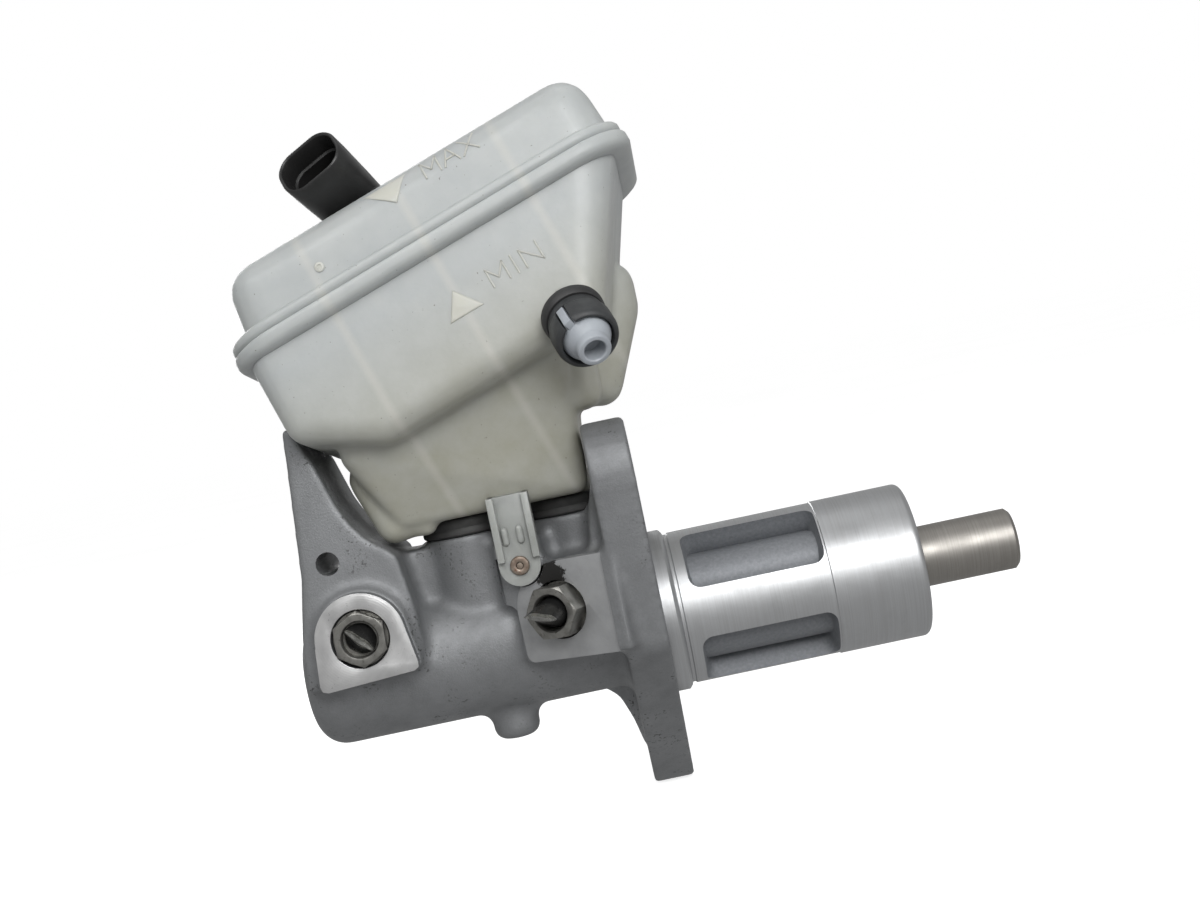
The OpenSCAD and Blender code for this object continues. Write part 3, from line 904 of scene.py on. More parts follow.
@dataclass
class CastBody:
    """The casting: barrel, flange, nose arm, reservoir bosses, port bosses and lugs."""

    barrel_r: float = 16.8
    nose: float = 93.6
    nose_round: float = 7.5
    flange_t: float = 11.0
    hole_pitch: float = 92.0
    hole_r: float = 4.5
    lean: float = 31.0
    boss_at: tuple[float, float] = (-44.5, -17.0)
    boss_r: float = 12.3
    boss_top: float = 31.0
    well_r: float = 9.5
    well_floor: float = 21.5
    arm_half: float = 19.0
    bore_r: float = 11.9
    port_face: float = -25.0
    arm_hole_at: tuple[float, float] = (-80.0, 31.5)
    arm_hole_r: float = 3.0
    tab_at: tuple[float, float] = (-32.3, 21.6)
    tab_back: float = 20.9
    tab_r: float = 5.6
    grain: float = 0.6
    fillet: float = 2.2

    def ear(self) -> tuple[float, float]:
        """Centre (y, z) of the upper ear of the flange."""
        a = math.radians(self.lean)
        return -self.hole_pitch / 2 * math.sin(a), self.hole_pitch / 2 * math.cos(a)

    def barrel(self) -> bpy.types.Object:
        """Round barrel with a rounded nose.

        Returns:
            The form.
        """
        r, f = self.barrel_r, self.nose_round
        profile = [(0, -self.nose), *arc(r - f, -self.nose + f, f, -90, 0, 10), (r, -3), (0, -3)]
        return lathe("barrel", ALONG_BORE, profile, 96)

    def flange(self) -> bpy.types.Object:
        """Flange with two ears.

        Returns:
            The form.
        """
        y, z = self.ear()
        outline = around_circles([(y, z, 13.4), (-23.5, -2.5, 5.5), (-y, -z, 9.5), (23.5, 2.5, 5.5)])
        return extrude("flange", Place().turned("Y", 90).turned("Z", 90), outline, -self.flange_t, 0)

    def upright(self, name: str, outline: Sequence[Point], near: float, far: float) -> bpy.types.Object:
        """An outline in the XZ plane, pulled from near to far along Y."""
        return extrude(name, Place().turned("X", 90), outline, -far, -near)

    def arm(self) -> bpy.types.Object:
        """Tall arm at the nose with its leaning outer edge and curved inner edge.

        Returns:
            The form.
        """
        outer = [(-91.6, 0), (-90.4, 14), (-87.4, 29), (-84.8, 60), (-84.4, 66.6), (-82.2, 66.6)]
        inner = [(-79.9, 60), (-78.3, 57), (-77, 52.5), (-75, 45.7), (-72.4, 40), (-69, 35.4), (-65, 32.4),
                 (-62.6, 30), (-60.6, 16), (-60.6, 6)]
        return self.upright("arm", outer + inner, -self.arm_half, self.arm_half)

    def gussets(self) -> list[bpy.types.Object]:
        """Webs that run from the barrel into the flange's ears.

        Returns:
            The forms.
        """
        low = [(-26, -12), (-26, -16.4), (-19, -17.2), (-15.4, -20.5), (-13, -27), (-11.4, -34), (-5, -34),
               (-5, -12)]
        high = [(-16, 12), (-13.5, 30), (-10.5, 40), (-5, 40), (-5, 12)]
        return [self.upright("gusset_low", low, 4, 24), self.upright("gusset_high", high, -24, -6)]

    def rear_block(self) -> bpy.types.Object:
        """Block behind the rear port, round at the top left and running into the flange."""
        outline = [(-11.8, -12.4), (18, -12.4), (18, 12.4), *arc(0, 0, 11.8, 90, 180, 10)]
        return extrude("rear_block", REAR_PORT.place, outline, -20, 0.9)

    def rough(self) -> bpy.types.Object:
        """All cast forms, fused and rounded.

        Returns:
            The fused form.
        """
        forms = [self.barrel(), self.flange(), self.arm(), *self.gussets(), self.rear_block()]
        forms.append(self.upright("rib", [(-72, 5), (-72, 30), (-14, 29), (-7, 24), (-7, 5)], -7, 7))
        for x in self.boss_at:
            forms.append(lathe("boss", Place.at(x, 0, 0), [
                (0, 0), (self.boss_r, 0), (self.boss_r, self.boss_top), (0, self.boss_top)], 72))
        forms.append(self.upright("front_block", self.d_outline(0.6), -self.arm_half - 2.4, -8))
        pin_lug = [(-38.6, 12), (-26.6, 12), (-26.6, 27.4), (-38.6, 27.4)]
        forms.append(self.upright("pin_lug", pin_lug, -20.4, -6))
        lug = [(0, -24.3), *arc(3.1, -21.3, 3, -90, 0, 8), (6.1, -4), (0, -4)]
        forms.append(lathe("lug", Place.at(-43.2, 0, 0), lug, 48))
        body = join("cylinder_casting", forms)
        soften(body, self.grain, 5, self.fillet)
        return body

    def d_outline(self, grow: float = 0.0) -> list[Point]:
        """Outline of the front port's D-shaped boss.

        Args:
            grow: Margin all round in millimetres.

        Returns:
            The outline in X and Z.
        """
        x, z, r = -75.0, 12.0, 11.4 + grow
        left = [(x - r - 0.2, z - 0.5), (x - 12.3 - grow, 2.2), (x - 11.9 - grow, 0.8 - grow),
                (x - 10.4, 0.3 - grow)]
        right = [(x + 11.6, 1.5 - grow), (x + 12.8 + grow, 2.2), (x + 12.9 + grow, 3.6)]
        return [*arc(x, z, r, 12, 180, 26), *left, *right]

    def tab_seat(self, name: str) -> bpy.types.Object:
        """The tool that makes room behind the end of the reservoir's tab.

        Args:
            name: Name of the object.

        Returns:
            The tool.
        """
        x, z = self.tab_at
        profile = [(0, self.tab_back), (self.tab_r, self.tab_back), (self.tab_r, 34), (0, 34)]
        return lathe(name, Place.at(x, 0, z).turned("X", 90), profile, 48)

    def drills(self) -> list[bpy.types.Object]:
        """Tools for everything that is machined into the cast skin.

        Returns:
            The tools.
        """
        y, z = self.ear()
        tools = [FRONT_PORT.cutter("front_drill"), REAR_PORT.cutter("rear_drill")]
        for x in self.boss_at:
            tools.append(lathe("well", Place.at(x, 0, 0), [
                (0, self.well_floor), (self.well_r, self.well_floor), (self.well_r, 40), (0, 40)], 64))
        for side in (1, -1):
            place = Place.at(0, side * y, side * z).turned("Y", 90)
            tools.append(lathe("ear_hole", place, [
                (0, -20), (self.hole_r, -20), (self.hole_r, 10), (0, 10)], 48))
        x, z = self.arm_hole_at
        r = self.arm_hole_r
        tools.append(lathe("arm_hole", Place.at(x, 0, z).turned("X", 90), [
            (0, -30), (r, -30), (r, 30), (0, 30)], 48))
        tools.append(lathe("bore", ALONG_BORE, [(0, -84), (self.bore_r, -84), (self.bore_r, 5), (0, 5)], 96))
        face = [(-15, -15), (14.6, -15), (14.6, 15), (-15, 15)]
        tools.append(extrude("face_cut", REAR_PORT.place, face, -0.3, 5))
        tools.append(self.tab_seat("tab_cut"))
        tools.append(lathe("grommet_room", Place.at(self.boss_at[1], 0, 0), [
            (0, self.boss_top), (12.8, self.boss_top), (12.8, 62), (0, 62)], 72))
        return tools

    def rear_outline(self) -> list[Point]:
        """Outline of the rear port's face, round at the top and square at its foot."""
        return [*arc(-9.6, -10.2, 2.2, 180, 270, 6), (15.4, -12.4), (15.4, 12.4), (2, 12.2),
                *arc(0, 0, 12.0, 84, 180, 18)]

    def build(self, cast: bpy.types.Material, milled: bpy.types.Material,
              faced: bpy.types.Material) -> list[bpy.types.Object]:
        """Builds the casting and the faces of its two ports.

        Args:
            cast: Finish of the cast skin.
            milled: Finish of the bright front port.
            faced: Finish of the dull rear port.

        Returns:
            The pieces.
        """
        body = self.rough()
        carve(body, self.drills())
        paint(body, cast)
        shade(body, 50)
        port = self.upright("front_port_face", self.d_outline(), self.port_face, -14)
        carve(port, [FRONT_PORT.cutter("face_drill")])
        bevel(port, 0.35, 2, 40)
        paint(port, cast, milled)
        repaint(port, 1, lambda c, n: n.y < -0.9)
        shade(port, 30)
        rear = extrude("rear_port_face", REAR_PORT.place, self.rear_outline(), -6, 0.15)
        carve(rear, [REAR_PORT.cutter("rear_face_drill"), self.tab_seat("tab_room")])
        bevel(rear, 0.45, 3, 40)
        paint(rear, faced)
        shade(rear, 30)
        return [place_piece(body, Body.CASTING, ["cylinder_body"]),
                place_piece(port, Body.CASTING),
                place_piece(rear, Body.CASTING)]


@dataclass
class Spigot:
    """Turned spigot with four cast pockets, a neck ring and the bore's mouth."""

    r: float = 20.2
    length: float = 67.4
    ring_r: float = 21.2
    bore_r: float = 11.9
    pocket: tuple[float, float] = (8.0, 43.0)
    half_width: float = 9.1
    corner: float = 3.0
    core_half: float = 13.4
    core_round: float = 7.6
    relief: float = 0.25
    land_from: float = 43.6

    def turned_body(self) -> bpy.types.Object:
        """The turned form with its bore.

        Returns:
            The form.
        """
        end, ring, r = self.length, self.ring_r, self.r
        low = r - self.relief
        profile = [(self.bore_r, -4), (ring - 0.3, -4), (ring, -0.3), (ring, 3.2), (ring - 0.4, 3.6),
                   (r + 0.1, 4.0), (r - 0.6, 4.3), (r - 0.6, 5.0), (low, 5.3), (low, self.land_from - 0.2),
                   (r, self.land_from), (r, end - 1.8), *arc(r - 1.8, end - 1.8, 1.8, 0, 90, 6),
                   (self.bore_r + 1.1, end), (self.bore_r, end - 1.1)]
        return lathe("spigot", ALONG_BORE, profile, 160, loop=True)

    def pocket_tool(self, angle: float) -> bpy.types.Object:
        """The tool that sinks one pocket, rounded where its floor meets its walls.

        Args:
            angle: Where the pocket sits around the bore, in degrees.

        Returns:
            The tool.
        """
        x0, x1 = self.pocket
        place = Place().turned("X", angle)
        tool = loft("pocket_tool", place, (x0, -self.half_width, x1, self.half_width), self.corner, [
            (1.5, 0), (1.5, 13.6), (0.9, 15.2), (0.3, 17.6), (0, 19.2), (0, self.r + 3)])
        half = self.core_half
        section = rounded_rect((-half, -half, half, half), self.core_round, 14)
        core = extrude("core", ALONG_BORE, section, -3, 61)
        carve(tool, [core])
        return tool

    def build(self, turned: bpy.types.Material, pocket: bpy.types.Material) -> bpy.types.Object:
        """Builds the spigot.

        Args:
            turned: Finish of the turned skin.
            pocket: Finish inside the pockets.

        Returns:
            The piece.
        """
        body = self.turned_body()
        paint(body, turned, pocket)
        tools = [self.pocket_tool(angle) for angle in (45, 135, 225, 315)]
        for tool in tools:
            paint(tool, turned, pocket)
            repaint(tool, 1, lambda c, n: True)
        carve(body, tools)
        shade(body, 28)
        return place_piece(body, Body.CASTING)


# ---------------------------------------------------------------- the reservoir


@dataclass
class ReservoirFrame:
    """Frame of the reservoir: u along the seam, v away from the ports, w up."""

    tilt: float = 19.0
    roll: float = 8.0

    def place(self) -> Place:
        """The frame itself."""
        return Place().turned("Y", -self.tilt).turned("X", -self.roll)

    def way(self, x: float, y: float, z: float) -> Vector:
        """A direction of this frame in the row frame."""
        return (self.place().matrix.to_3x3() @ Vector((x, y, z))).normalized()


RES = ReservoirFrame()


@dataclass
class LowerShell:
    """Lower half: tub, neck, lobe, outlets and its half of the welded rim."""

    seam: float = 106.2
    tub: tuple[float, float, float, float] = (-55.6, -47.0, 51.0, 12.0)
    rim: tuple[float, float, float, float] = (-58.6, -50.2, 54.0, 15.0)
    corner: float = 9.5
    wall: float = 2.2
    outlets: tuple[float, float] = (-44.5, -17.0)
    outlet_r: float = 6.2
    baffles: tuple[float, float, float] = (-30.0, -2.2, 25.6)

    def tub_form(self) -> bpy.types.Object:
        """Tub with its sloping corner at the nose end.

        Returns:
            The form.
        """
        x0, y0, x1, y1 = self.tub
        r = self.corner
        balls = [(u, v, w, r) for u in (x0 + r, x1 - r) for v in (y0 + r, y1 - r) for w in (108, 118)]
        for v in (y0 + 6, y1 - 6):
            balls += [(-49.4, v, 83.4, 6), (-33.4, v, 74, 6), (23, v, 74, 6)]
        return hull("tub", RES.place(), balls)

    def neck_forms(self) -> list[bpy.types.Object]:
        """Neck, the corner beside the front boss, the step over the flange and the rear lobe.

        Returns:
            The forms.
        """
        top = [RES.place().row(u, v, 72) / MM for u in (-43.5, 9) for v in (-30.5, 5)]
        foot = [(x, y, z, 3.2) for x in (-58.8, -14.8) for y in (-14.8, 13.8) for z in (39, 41)]
        neck = hull("neck", ROW, [*foot, *[(p.x, p.y, p.z, 5.5) for p in top]])
        corner = hull("neck_corner", ROW, [(x, y, z, r) for x, z, r in (
            (-62.4, 36.9, 4.4), (-58.4, 37.0, 3.9), (-66.2, 50, 5.2), (-61, 50, 5.2)) for y in (-12, 10)])
        lip = hull("neck_lip", ROW, [(-60, -11.6, 37.2, 3.8), (-54.2, -13.0, 35.8, 3.0), (-60, -10, 42, 3.8),
                                     (-54.2, -13.0, 42, 3.0)])
        step = hull("step", ROW, [(x, y, z, 4.5) for x in (-20, -8) for y in (-16, 12) for z in (60.5, 78)])
        lobe = hull("lobe", ROW, [(x, y, z, 6) for x, z in ((4.4, 86), (4.4, 80), (-3.5, 61.8), (-16, 70))
                                  for y in (-2, 18)])
        return [neck, corner, lip, step, lobe]

    def build(self, shell: bpy.types.Material) -> bpy.types.Object:
        """Builds the lower half.

        Args:
            shell: Translucent finish.

        Returns:
            The piece.
        """
        place = RES.place()
        body = join("reservoir_lower", [self.tub_form(), *self.neck_forms()])
        soften(body, 0.8, 10)
        x0, y0, x1, y1 = self.rim
        lid = loft("lid_cut", place, (x0 - 20, y0 - 20, x1 + 20, y1 + 20), 5, [(0, self.seam), (0, 150)])
        carve(body, [lid])
        inner = join("hollow", [self.tub_form(), *self.neck_forms()])
        soften(inner, 1.2, 6)
        shrink(inner, self.wall)
        carve(body, [inner])
        ring = loft("rim_low", place, self.rim, 14, [
            (2.6, 101.6), (1.1, 102.2), (0.35, 102.8), (0, 103.6), (0, 105.3), (0.3, 105.9),
            (1.0, self.seam)])
        hole = loft("rim_hole", place, (x0 + 6, y0 + 6, x1 - 6, y1 - 6), 10, [(0, 95), (0, 112)])
        carve(ring, [hole])
        stubs = [lathe("outlet", Place.at(x, 0, 0), [
            (4.4, 25.5), (self.outlet_r - 0.5, 25.5), (self.outlet_r, 26.2), (self.outlet_r, 41), (4.4, 41)],
            48, loop=True) for x in self.outlets]
        stubs.append(lathe("hose_stub", HoseOutlet().place(), [
            (2.6, -8), (4.1, -8), (4.1, 4.2), (3.9, 4.5), (2.6, 4.5)], 48, loop=True))
        plates = []
        for u in self.baffles:
            near, far = self.tub[1] + 1.8, self.tub[3] - 1.8
            plates.append(extrude("baffle", place, [(u - 0.8, near), (u + 0.8, near), (u + 0.8, far),
                                                    (u - 0.8, far)], 80, 100))
        body = join("reservoir_lower", [body, ring, *stubs, *plates])
        paint(body, shell)
        shade(body, 40)
        return place_piece(body, Body.CASTING, ["reservoir_lower_shell"])


@dataclass
class UpperShell:
    """Upper half: lid form, its half of the rim, the filler neck and the sensor's seat."""

    seam: float = 106.25
    box: tuple[float, float, float, float] = (-54.5, -44.0, 51.5, 11.0)
    rim: tuple[float, float, float, float] = (-58.0, -49.6, 53.4, 14.4)
    filler: tuple[float, float] = (22.0, -3.0)
    filler_r: float = 15.5
    filler_top: float = 128.0
    sensor: tuple[float, float] = (-14.0, -22.0)
    seat_top: float = 125.5
    wall: float = 2.2

    def form(self) -> bpy.types.Object:
        """Lid form before it is hollowed.

        Returns:
            The form.
        """
        x0, y0, x1, y1 = self.box
        balls = [(u, v, 103, 9.5) for u in (x0 + 9.5, x1 - 9.5) for v in (y0 + 9.5, y1 - 9.5)]
        for u in (-44, 42.8):
            balls += [(u, -35.6, 118.2, 8), (u, 3, 112.6, 8)]
        return hull("lid", RES.place(), balls)

    def build(self, shell: bpy.types.Material) -> bpy.types.Object:
        """Builds the upper half.

        Args:
            shell: Translucent finish.

        Returns:
            The piece.
        """
        place = RES.place()
        u, v = self.filler
        su, sv = self.sensor
        neck = lathe("filler_neck", place.moved(u, v, 0), [
            (0, 108), (self.filler_r, 108), (self.filler_r, self.filler_top), (0, self.filler_top)], 72)
        seat = lathe("sensor_seat", place.moved(su, sv, 0), [
            (0, 110), (12.4, 110), (12.4, self.seat_top), (0, self.seat_top)], 64)
        body = join("reservoir_upper", [self.form(), neck, seat])
        soften(body, 0.8, 7)
        inner = self.form()
        soften(inner, 1.2, 6)
        shrink(inner, self.wall)
        x0, y0, x1, y1 = self.rim
        base = loft("base_cut", place, (x0 - 20, y0 - 20, x1 + 20, y1 + 20), 5, [(0, 60), (0, self.seam)])
        mouth = lathe("mouth", place.moved(u, v, 0), [(0, 100), (self.filler_r - 2, 100),
                                                      (self.filler_r - 2, 140), (0, 140)], 72)
        seat_hole = lathe("seat_hole", place.moved(su, sv, 0), [
            (0, 100), (9.2, 100), (9.2, 140), (0, 140)], 64)
        carve(body, [inner, base, mouth, seat_hole])
        ring = loft("rim_high", place, self.rim, 14, [
            (0.8, self.seam), (0.15, 106.9), (0, 107.4), (0, 108.2), (0.35, 108.8), (1.2, 109.2),
            (3.2, 109.4)])
        hole = loft("rim_gap", place, (x0 + 6, y0 + 6, x1 - 6, y1 - 6), 10, [(0, 95), (0, 115)])
        carve(ring, [hole])
        body = join("reservoir_upper", [body, ring])
        paint(body, shell)
        shade(body, 40)
        return place_piece(body, Body.CASTING, ["reservoir_upper_shell"])


@dataclass
class LevelMarks:
    """Raised level marks on the near walls: a triangle and a word each, and a gate mark."""

    stroke: float = 0.5
    lift: float = 0.4
    letters: dict[str, list[list[Point]]] = field(default_factory=lambda: {
        "M": [[(0, 0), (0, 1), (0.5, 0.35), (1, 1), (1, 0)]],
        "I": [[(0.5, 0), (0.5, 1)]],
        "N": [[(0, 0), (0, 1), (1, 0), (1, 1)]],
        "A": [[(0, 0), (0.5, 1), (1, 0)], [(0.2, 0.36), (0.8, 0.36)]],
        "X": [[(0, 0), (1, 1)], [(0, 1), (1, 0)]],
    })

    @staticmethod
    def low_wall(u: float, w: float) -> float:
        """Depth v of the lower half's near wall."""
        return -46.75

    @staticmethod
    def high_wall(u: float, w: float) -> float:
        """Depth v of the upper half's near wall, which rounds over to the top."""
        rise = max(0.0, w - 118.2)
        return -35.6 - math.sqrt(max(0.0, 7.75 ** 2 - rise ** 2))

    def bar(self, one: Point, two: Point, wall: Callable[[float, float], float]) -> bpy.types.Object:
        """One raised stroke between two points of the wall.

        Args:
            one: First end on the wall.
            two: Second end on the wall.
            wall: Depth of the wall at a point.

        Returns:
            The stroke.
        """
        (u0, w0), (u1, w1) = one, two
        length = math.hypot(u1 - u0, w1 - w0)
        du, dw = (u1 - u0) / length, (w1 - w0) / length
        h = self.stroke / 2
        rings = []
        steps = max(2, int(length / 0.8))
        for i in range(steps + 1):
            t = -h + (length + 2 * h) * i / steps
            u, w = u0 + du * t, w0 + dw * t
            ring = []
            for side, out in ((-h, -0.4), (-h, self.lift * 0.6), (-h * 0.4, self.lift), (h * 0.4, self.lift),
                              (h, self.lift * 0.6), (h, -0.4)):
                a, b = u - dw * side, w + du * side
                ring.append(RES.place().row(a, wall(a, b) - out, b))
            rings.append(ring)
        return rings_object("stroke", rings)

    def word(self, text: str, start: Point, size: Point, gap: float,
             wall: Callable[[float, float], float]) -> list[bpy.types.Object]:
        """The strokes of a word.

        Args:
            text: Letters to set.
            start: Lower left corner on the wall.
            size: Width and height of a letter.
            gap: Space between letters.
            wall: Depth of the wall at a point.

        Returns:
            One object per stroke.
        """
        bars = []
        u = start[0]
        for letter in text:
            wide = size[0] * (0.3 if letter == "I" else 1)
            for line in self.letters[letter]:
                points = [(u + x * wide, start[1] + y * size[1]) for x, y in line]
                bars += [self.bar(a, b, wall) for a, b in zip(points, points[1:])]
            u += wide + gap
        return bars

    def triangle(self, points: Sequence[Point], wall: Callable[[float, float], float]) -> bpy.types.Object:
        """A raised triangular pad.

        Args:
            points: Corners on the wall.
            wall: Depth of the wall at a point.

        Returns:
            The pad.
        """
        cu, cw = (sum(p[i] for p in points) / 3 for i in (0, 1))
        rings = []
        for out, share in ((-0.6, 1.0), (0.25, 1.0), (0.45, 0.93), (0.5, 0.8)):
            ring = []
            for (u0, w0), (u1, w1) in zip(points, [*points[1:], points[0]]):
                for step in range(6):
                    u, w = u0 + (u1 - u0) * step / 6, w0 + (w1 - w0) * step / 6
                    u, w = cu + (u - cu) * share, cw + (w - cw) * share
                    ring.append(RES.place().row(u, wall(u, w) - out, w))
            rings.append(ring)
        return rings_object("pad", rings)

    def build(self, shell: bpy.types.Material) -> bpy.types.Object:
        """Builds both marks.

        Args:
            shell: Translucent finish.

        Returns:
            The piece.
        """
        low, high = self.low_wall, self.high_wall
        bars = [self.triangle([(-7.0, 84.7), (2.4, 84.7), (-2.6, 91.6)], low)]
        bars += self.word("MIN", (6.6, 87.0), (4.6, 4.6), 1.7, low)
        bars.append(self.triangle([(-10.2, 124.4), (1.8, 124.4), (-3.4, 118.2)], high))
        bars += self.word("MAX", (6.0, 119.8), (4.2, 4.6), 1.2, high)
        v = self.high_wall(0, 114)
        dot = Place(RES.place().moved(-27.8, v - 0.45, 114.4).turned("X", 90).matrix)
        bars.append(lathe("gate_mark", dot, [(0, -0.8), (1.25, -0.8), (1.25, 0.1), (1.0, 0.3), (0.65, 0.3),
                                             (0.5, 0.05), (0, 0.05)], 32))
        marks = join("level_marks", bars)
        paint(marks, shell)
        shade(marks, 50)
        return place_piece(marks, Body.CASTING)


@dataclass
class RetainingTab:
    """Tab of the reservoir that is pinned to the casting, with its hollow pin."""

    left: float = -37.6
    right: float = -27.0
    top: float = 39.4
    pin_at: tuple[float, float] = (-32.5, 21.6)
    end_r: float = 5.2
    near: float = -23.4

    def build(self, shell: bpy.types.Material, steel: bpy.types.Material) -> list[bpy.types.Object]:
        """Builds the tab and the pin.

        Args:
            shell: Translucent finish.
            steel: Finish of the pin.

        Returns:
            The pieces.
        """
        x, z = self.pin_at
        flat = Place().turned("X", 90)
        outline = [(self.right, self.top), (self.left, self.top), (x - self.end_r - 0.1, z),
                   *arc(x, z, self.end_r, 180, 360, 16)]
        plate = extrude("plate", flat, outline, -(self.near + 2.0), -self.near)
        hole = lathe("hole", Place.at(x, -20, z).turned("X", 90), [
            (0, -5), (1.8, -5), (1.8, 20), (0, 20)], 32)
        carve(plate, [hole])
        ribs = []
        for side in (self.left + 0.9, self.right - 0.9):
            rib = [(side - 0.9, z + 1.5), (side + 0.9, z + 1.5), (side + 0.9, self.top),
                   (side - 0.9, self.top)]
            ribs.append(extrude("rib", flat, rib, 17, 25.4))
        web = [(self.left, self.top - 3.2), (self.right, self.top - 3.2), (self.right, self.top),
               (self.left, self.top)]
        ribs.append(extrude("web", flat, web, 14, 23))
        for side in (-2.2, 1.6):
            ribs.append(hull("bump", ROW, [(x + side, self.near - 0.1, z + dz, 0.9) for dz in (6.2, 9.2)]))
        for part in [plate, *ribs[:3]]:
            bevel(part, 0.3, 2, 40)
        tab = join("retaining_tab", [plate, *ribs])
        paint(tab, shell)
        shade(tab, 35)
        pin = lathe("retaining_sleeve", Place.at(x, 0, z).turned("X", 90), [
            (0.8, 6), (1.7, 6), (1.7, 23.4), (2.35, 23.5), (2.45, 23.9), (2.2, 24.4), (1.6, 24.6),
            (1.0, 24.4), (0.8, 23.6)], 40, loop=True)
        plug = lathe("sleeve_core", Place.at(x, 0, z).turned("X", 90), [
            (0, 12), (0.78, 12), (0.78, 23.9), (0, 24.0)], 24)
        pin = join("retaining_sleeve", [pin, plug])
        paint(pin, steel)
        shade(pin, 40)
        return [place_piece(tab, Body.CASTING),
                place_piece(pin, Body.CASTING, ["retaining_pin"])]


# ---------------------------------------------------------------- sensor, outlet, grommets, cap


@dataclass
class LevelSensor:
    """Sensor housing with its stem and oval socket."""

    at: tuple[float, float] = (-14.0, -22.0)
    seat: float = 125.6
    stem_foot: float = 70.0
    stem_r: float = 4.0
    outer: tuple[float, float] = (17.6, 13.8)

    def socket_place(self) -> Place:
        """Frame of the socket, Z out of its mouth and X along its long side."""
        return RES.place().moved(-12.8, -19, 126.2).turned("Y", -18.7).turned("X", 58).turned("Z", -13.9)

    def build(self, plastic: bpy.types.Material) -> bpy.types.Object:
        """Builds the housing.

        Args:
            plastic: Black moulded finish.

        Returns:
            The piece.
        """
        foot, seat = self.stem_foot, self.seat
        place = RES.place().moved(*self.at, 0)
        stem = lathe("stem", place, [
            (0, foot), (7.2, foot), (7.4, foot + 0.3), (7.4, foot + 2), (self.stem_r, foot + 2.2),
            (self.stem_r, 117), (9, 117), (9, seat), (11.2, seat), (11.4, seat + 0.3), (11.4, seat + 2.6),
            (11, seat + 3), (0, seat + 3)], 64)
        a, b = self.outer
        socket = loft("socket", self.socket_place(), (-a / 2, -b / 2, a / 2, b / 2), 5.6, [
            (0.8, 2), (0.4, 10), (0, 21), (0, 26.0), (0.2, 26.35), (0.5, 26.5), (0.8, 26.35), (1.0, 26.0),
            (1.05, 20.5), (1.7, 20.2), (1.8, 10), (2.4, 9.4)])
        housing = join("sensor_housing", [stem, socket])
        paint(housing, plastic)
        shade(housing, 40)
        return place_piece(housing, Body.CASTING, ["level_sensor_housing"])


@dataclass
class HoseOutlet:
    """Side outlet: seal ring, slotted rubber boot and pale plug with its recessed tip."""

    down: float = 46.0
    strap_turn: float = -72.0

    def place(self) -> Place:
        """Frame of the outlet, Z pointing out."""
        return RES.place().moved(19.4, -47, 72.4).turned("X", 90 + self.down)

    def build(self, seal: bpy.types.Material, boot: bpy.types.Material,
              pale: bpy.types.Material) -> list[bpy.types.Object]:
        """Builds the three pieces.

        Args:
            seal: Black rubber.
            boot: Dark grey rubber.
            pale: Pale moulded plastic.

        Returns:
            The pieces.
        """
        place = self.place()
        ring = lathe("outlet_seal", place, [
            (4.35, 0.9), (7.4, 0.9), (7.9, 1.3), (8.0, 2.0), (7.9, 3.4), (7.4, 4.1), (4.35, 4.1)],
            72, loop=True)
        paint(ring, seal)
        cover = lathe("outlet_cover", place, [
            (4.4, 4.2), (6.9, 4.25), (7.15, 4.6), (7.15, 6.6), (7.3, 7.2), (7.75, 7.6), (7.9, 8.2),
            (7.85, 12.6), (7.6, 13.6), (7.0, 14.1), (6.5, 14.0), (6.3, 13.4), (6.3, 9.2), (4.4, 9.0)],
            96, loop=True)
        across = place.turned("Z", self.strap_turn)
        slot = extrude("slot", across, rounded_rect((-12, -1.5, -5, 1.5), 0.4, 3), 6.4, 16)
        carve(cover, [slot])
        bevel(cover, 0.2, 2, 50)
        paint(cover, boot)
        plug = lathe("plug", place, [
            (4.4, 4.4), (5.6, 9.3), (6.15, 9.5), (6.15, 12.2), (5.95, 13.0), (5.6, 13.9), (4.7, 15.6),
            (4.2, 16.2), (4.1, 16.6), (4.1, 18.3), (3.95, 18.65), (3.7, 18.8), (2.95, 18.8), (2.65, 18.5),
            (2.6, 14.2), (0, 14.2), (0, 9.3)], 72)
        fin = extrude("fin", across, [(-7.8, -1.0), (-4.5, -1.0), (-4.5, 1.0), (-7.8, 1.0)], 7.4, 13.6)
        bevel(fin, 0.25, 2)
        plug = join("outlet_nozzle", [plug, fin])
        paint(plug, pale)
        pieces = ((ring, "seal_rubber", "outlet_seal_ring"), (cover, "grommet_rubber", "outlet_boot"),
                  (plug, "plug_plastic", "outlet_plug"))
        for piece, slot_name, node in pieces:
            shade(piece, 38)
            place_piece(piece, Body.CASTING, [node])
        return [piece for piece, _, _ in pieces]


@dataclass
class Grommet:
    """Reservoir grommet seated in one boss."""

    x: float
    name: str
    node: str

    def build(self, rubber: bpy.types.Material) -> bpy.types.Object:
        """Builds the grommet.

        Args:
            rubber: Finish of the grommet.

        Returns:
            The piece.
        """
        ring = lathe(self.name, Place.at(self.x, 0, 0), [
            (6.25, 24.5), (9.3, 24.5), (9.45, 25), (9.45, 31.05), (12.1, 31.05), (12.45, 31.4), (12.5, 32.2),
            (12.1, 33.0), (12.3, 33.6), (12.45, 34.8), (12.1, 35.4), (6.25, 35.45)], 96, loop=True)
        paint(ring, rubber)
        shade(ring, 40)
        return place_piece(ring, Body.CASTING, [self.node])


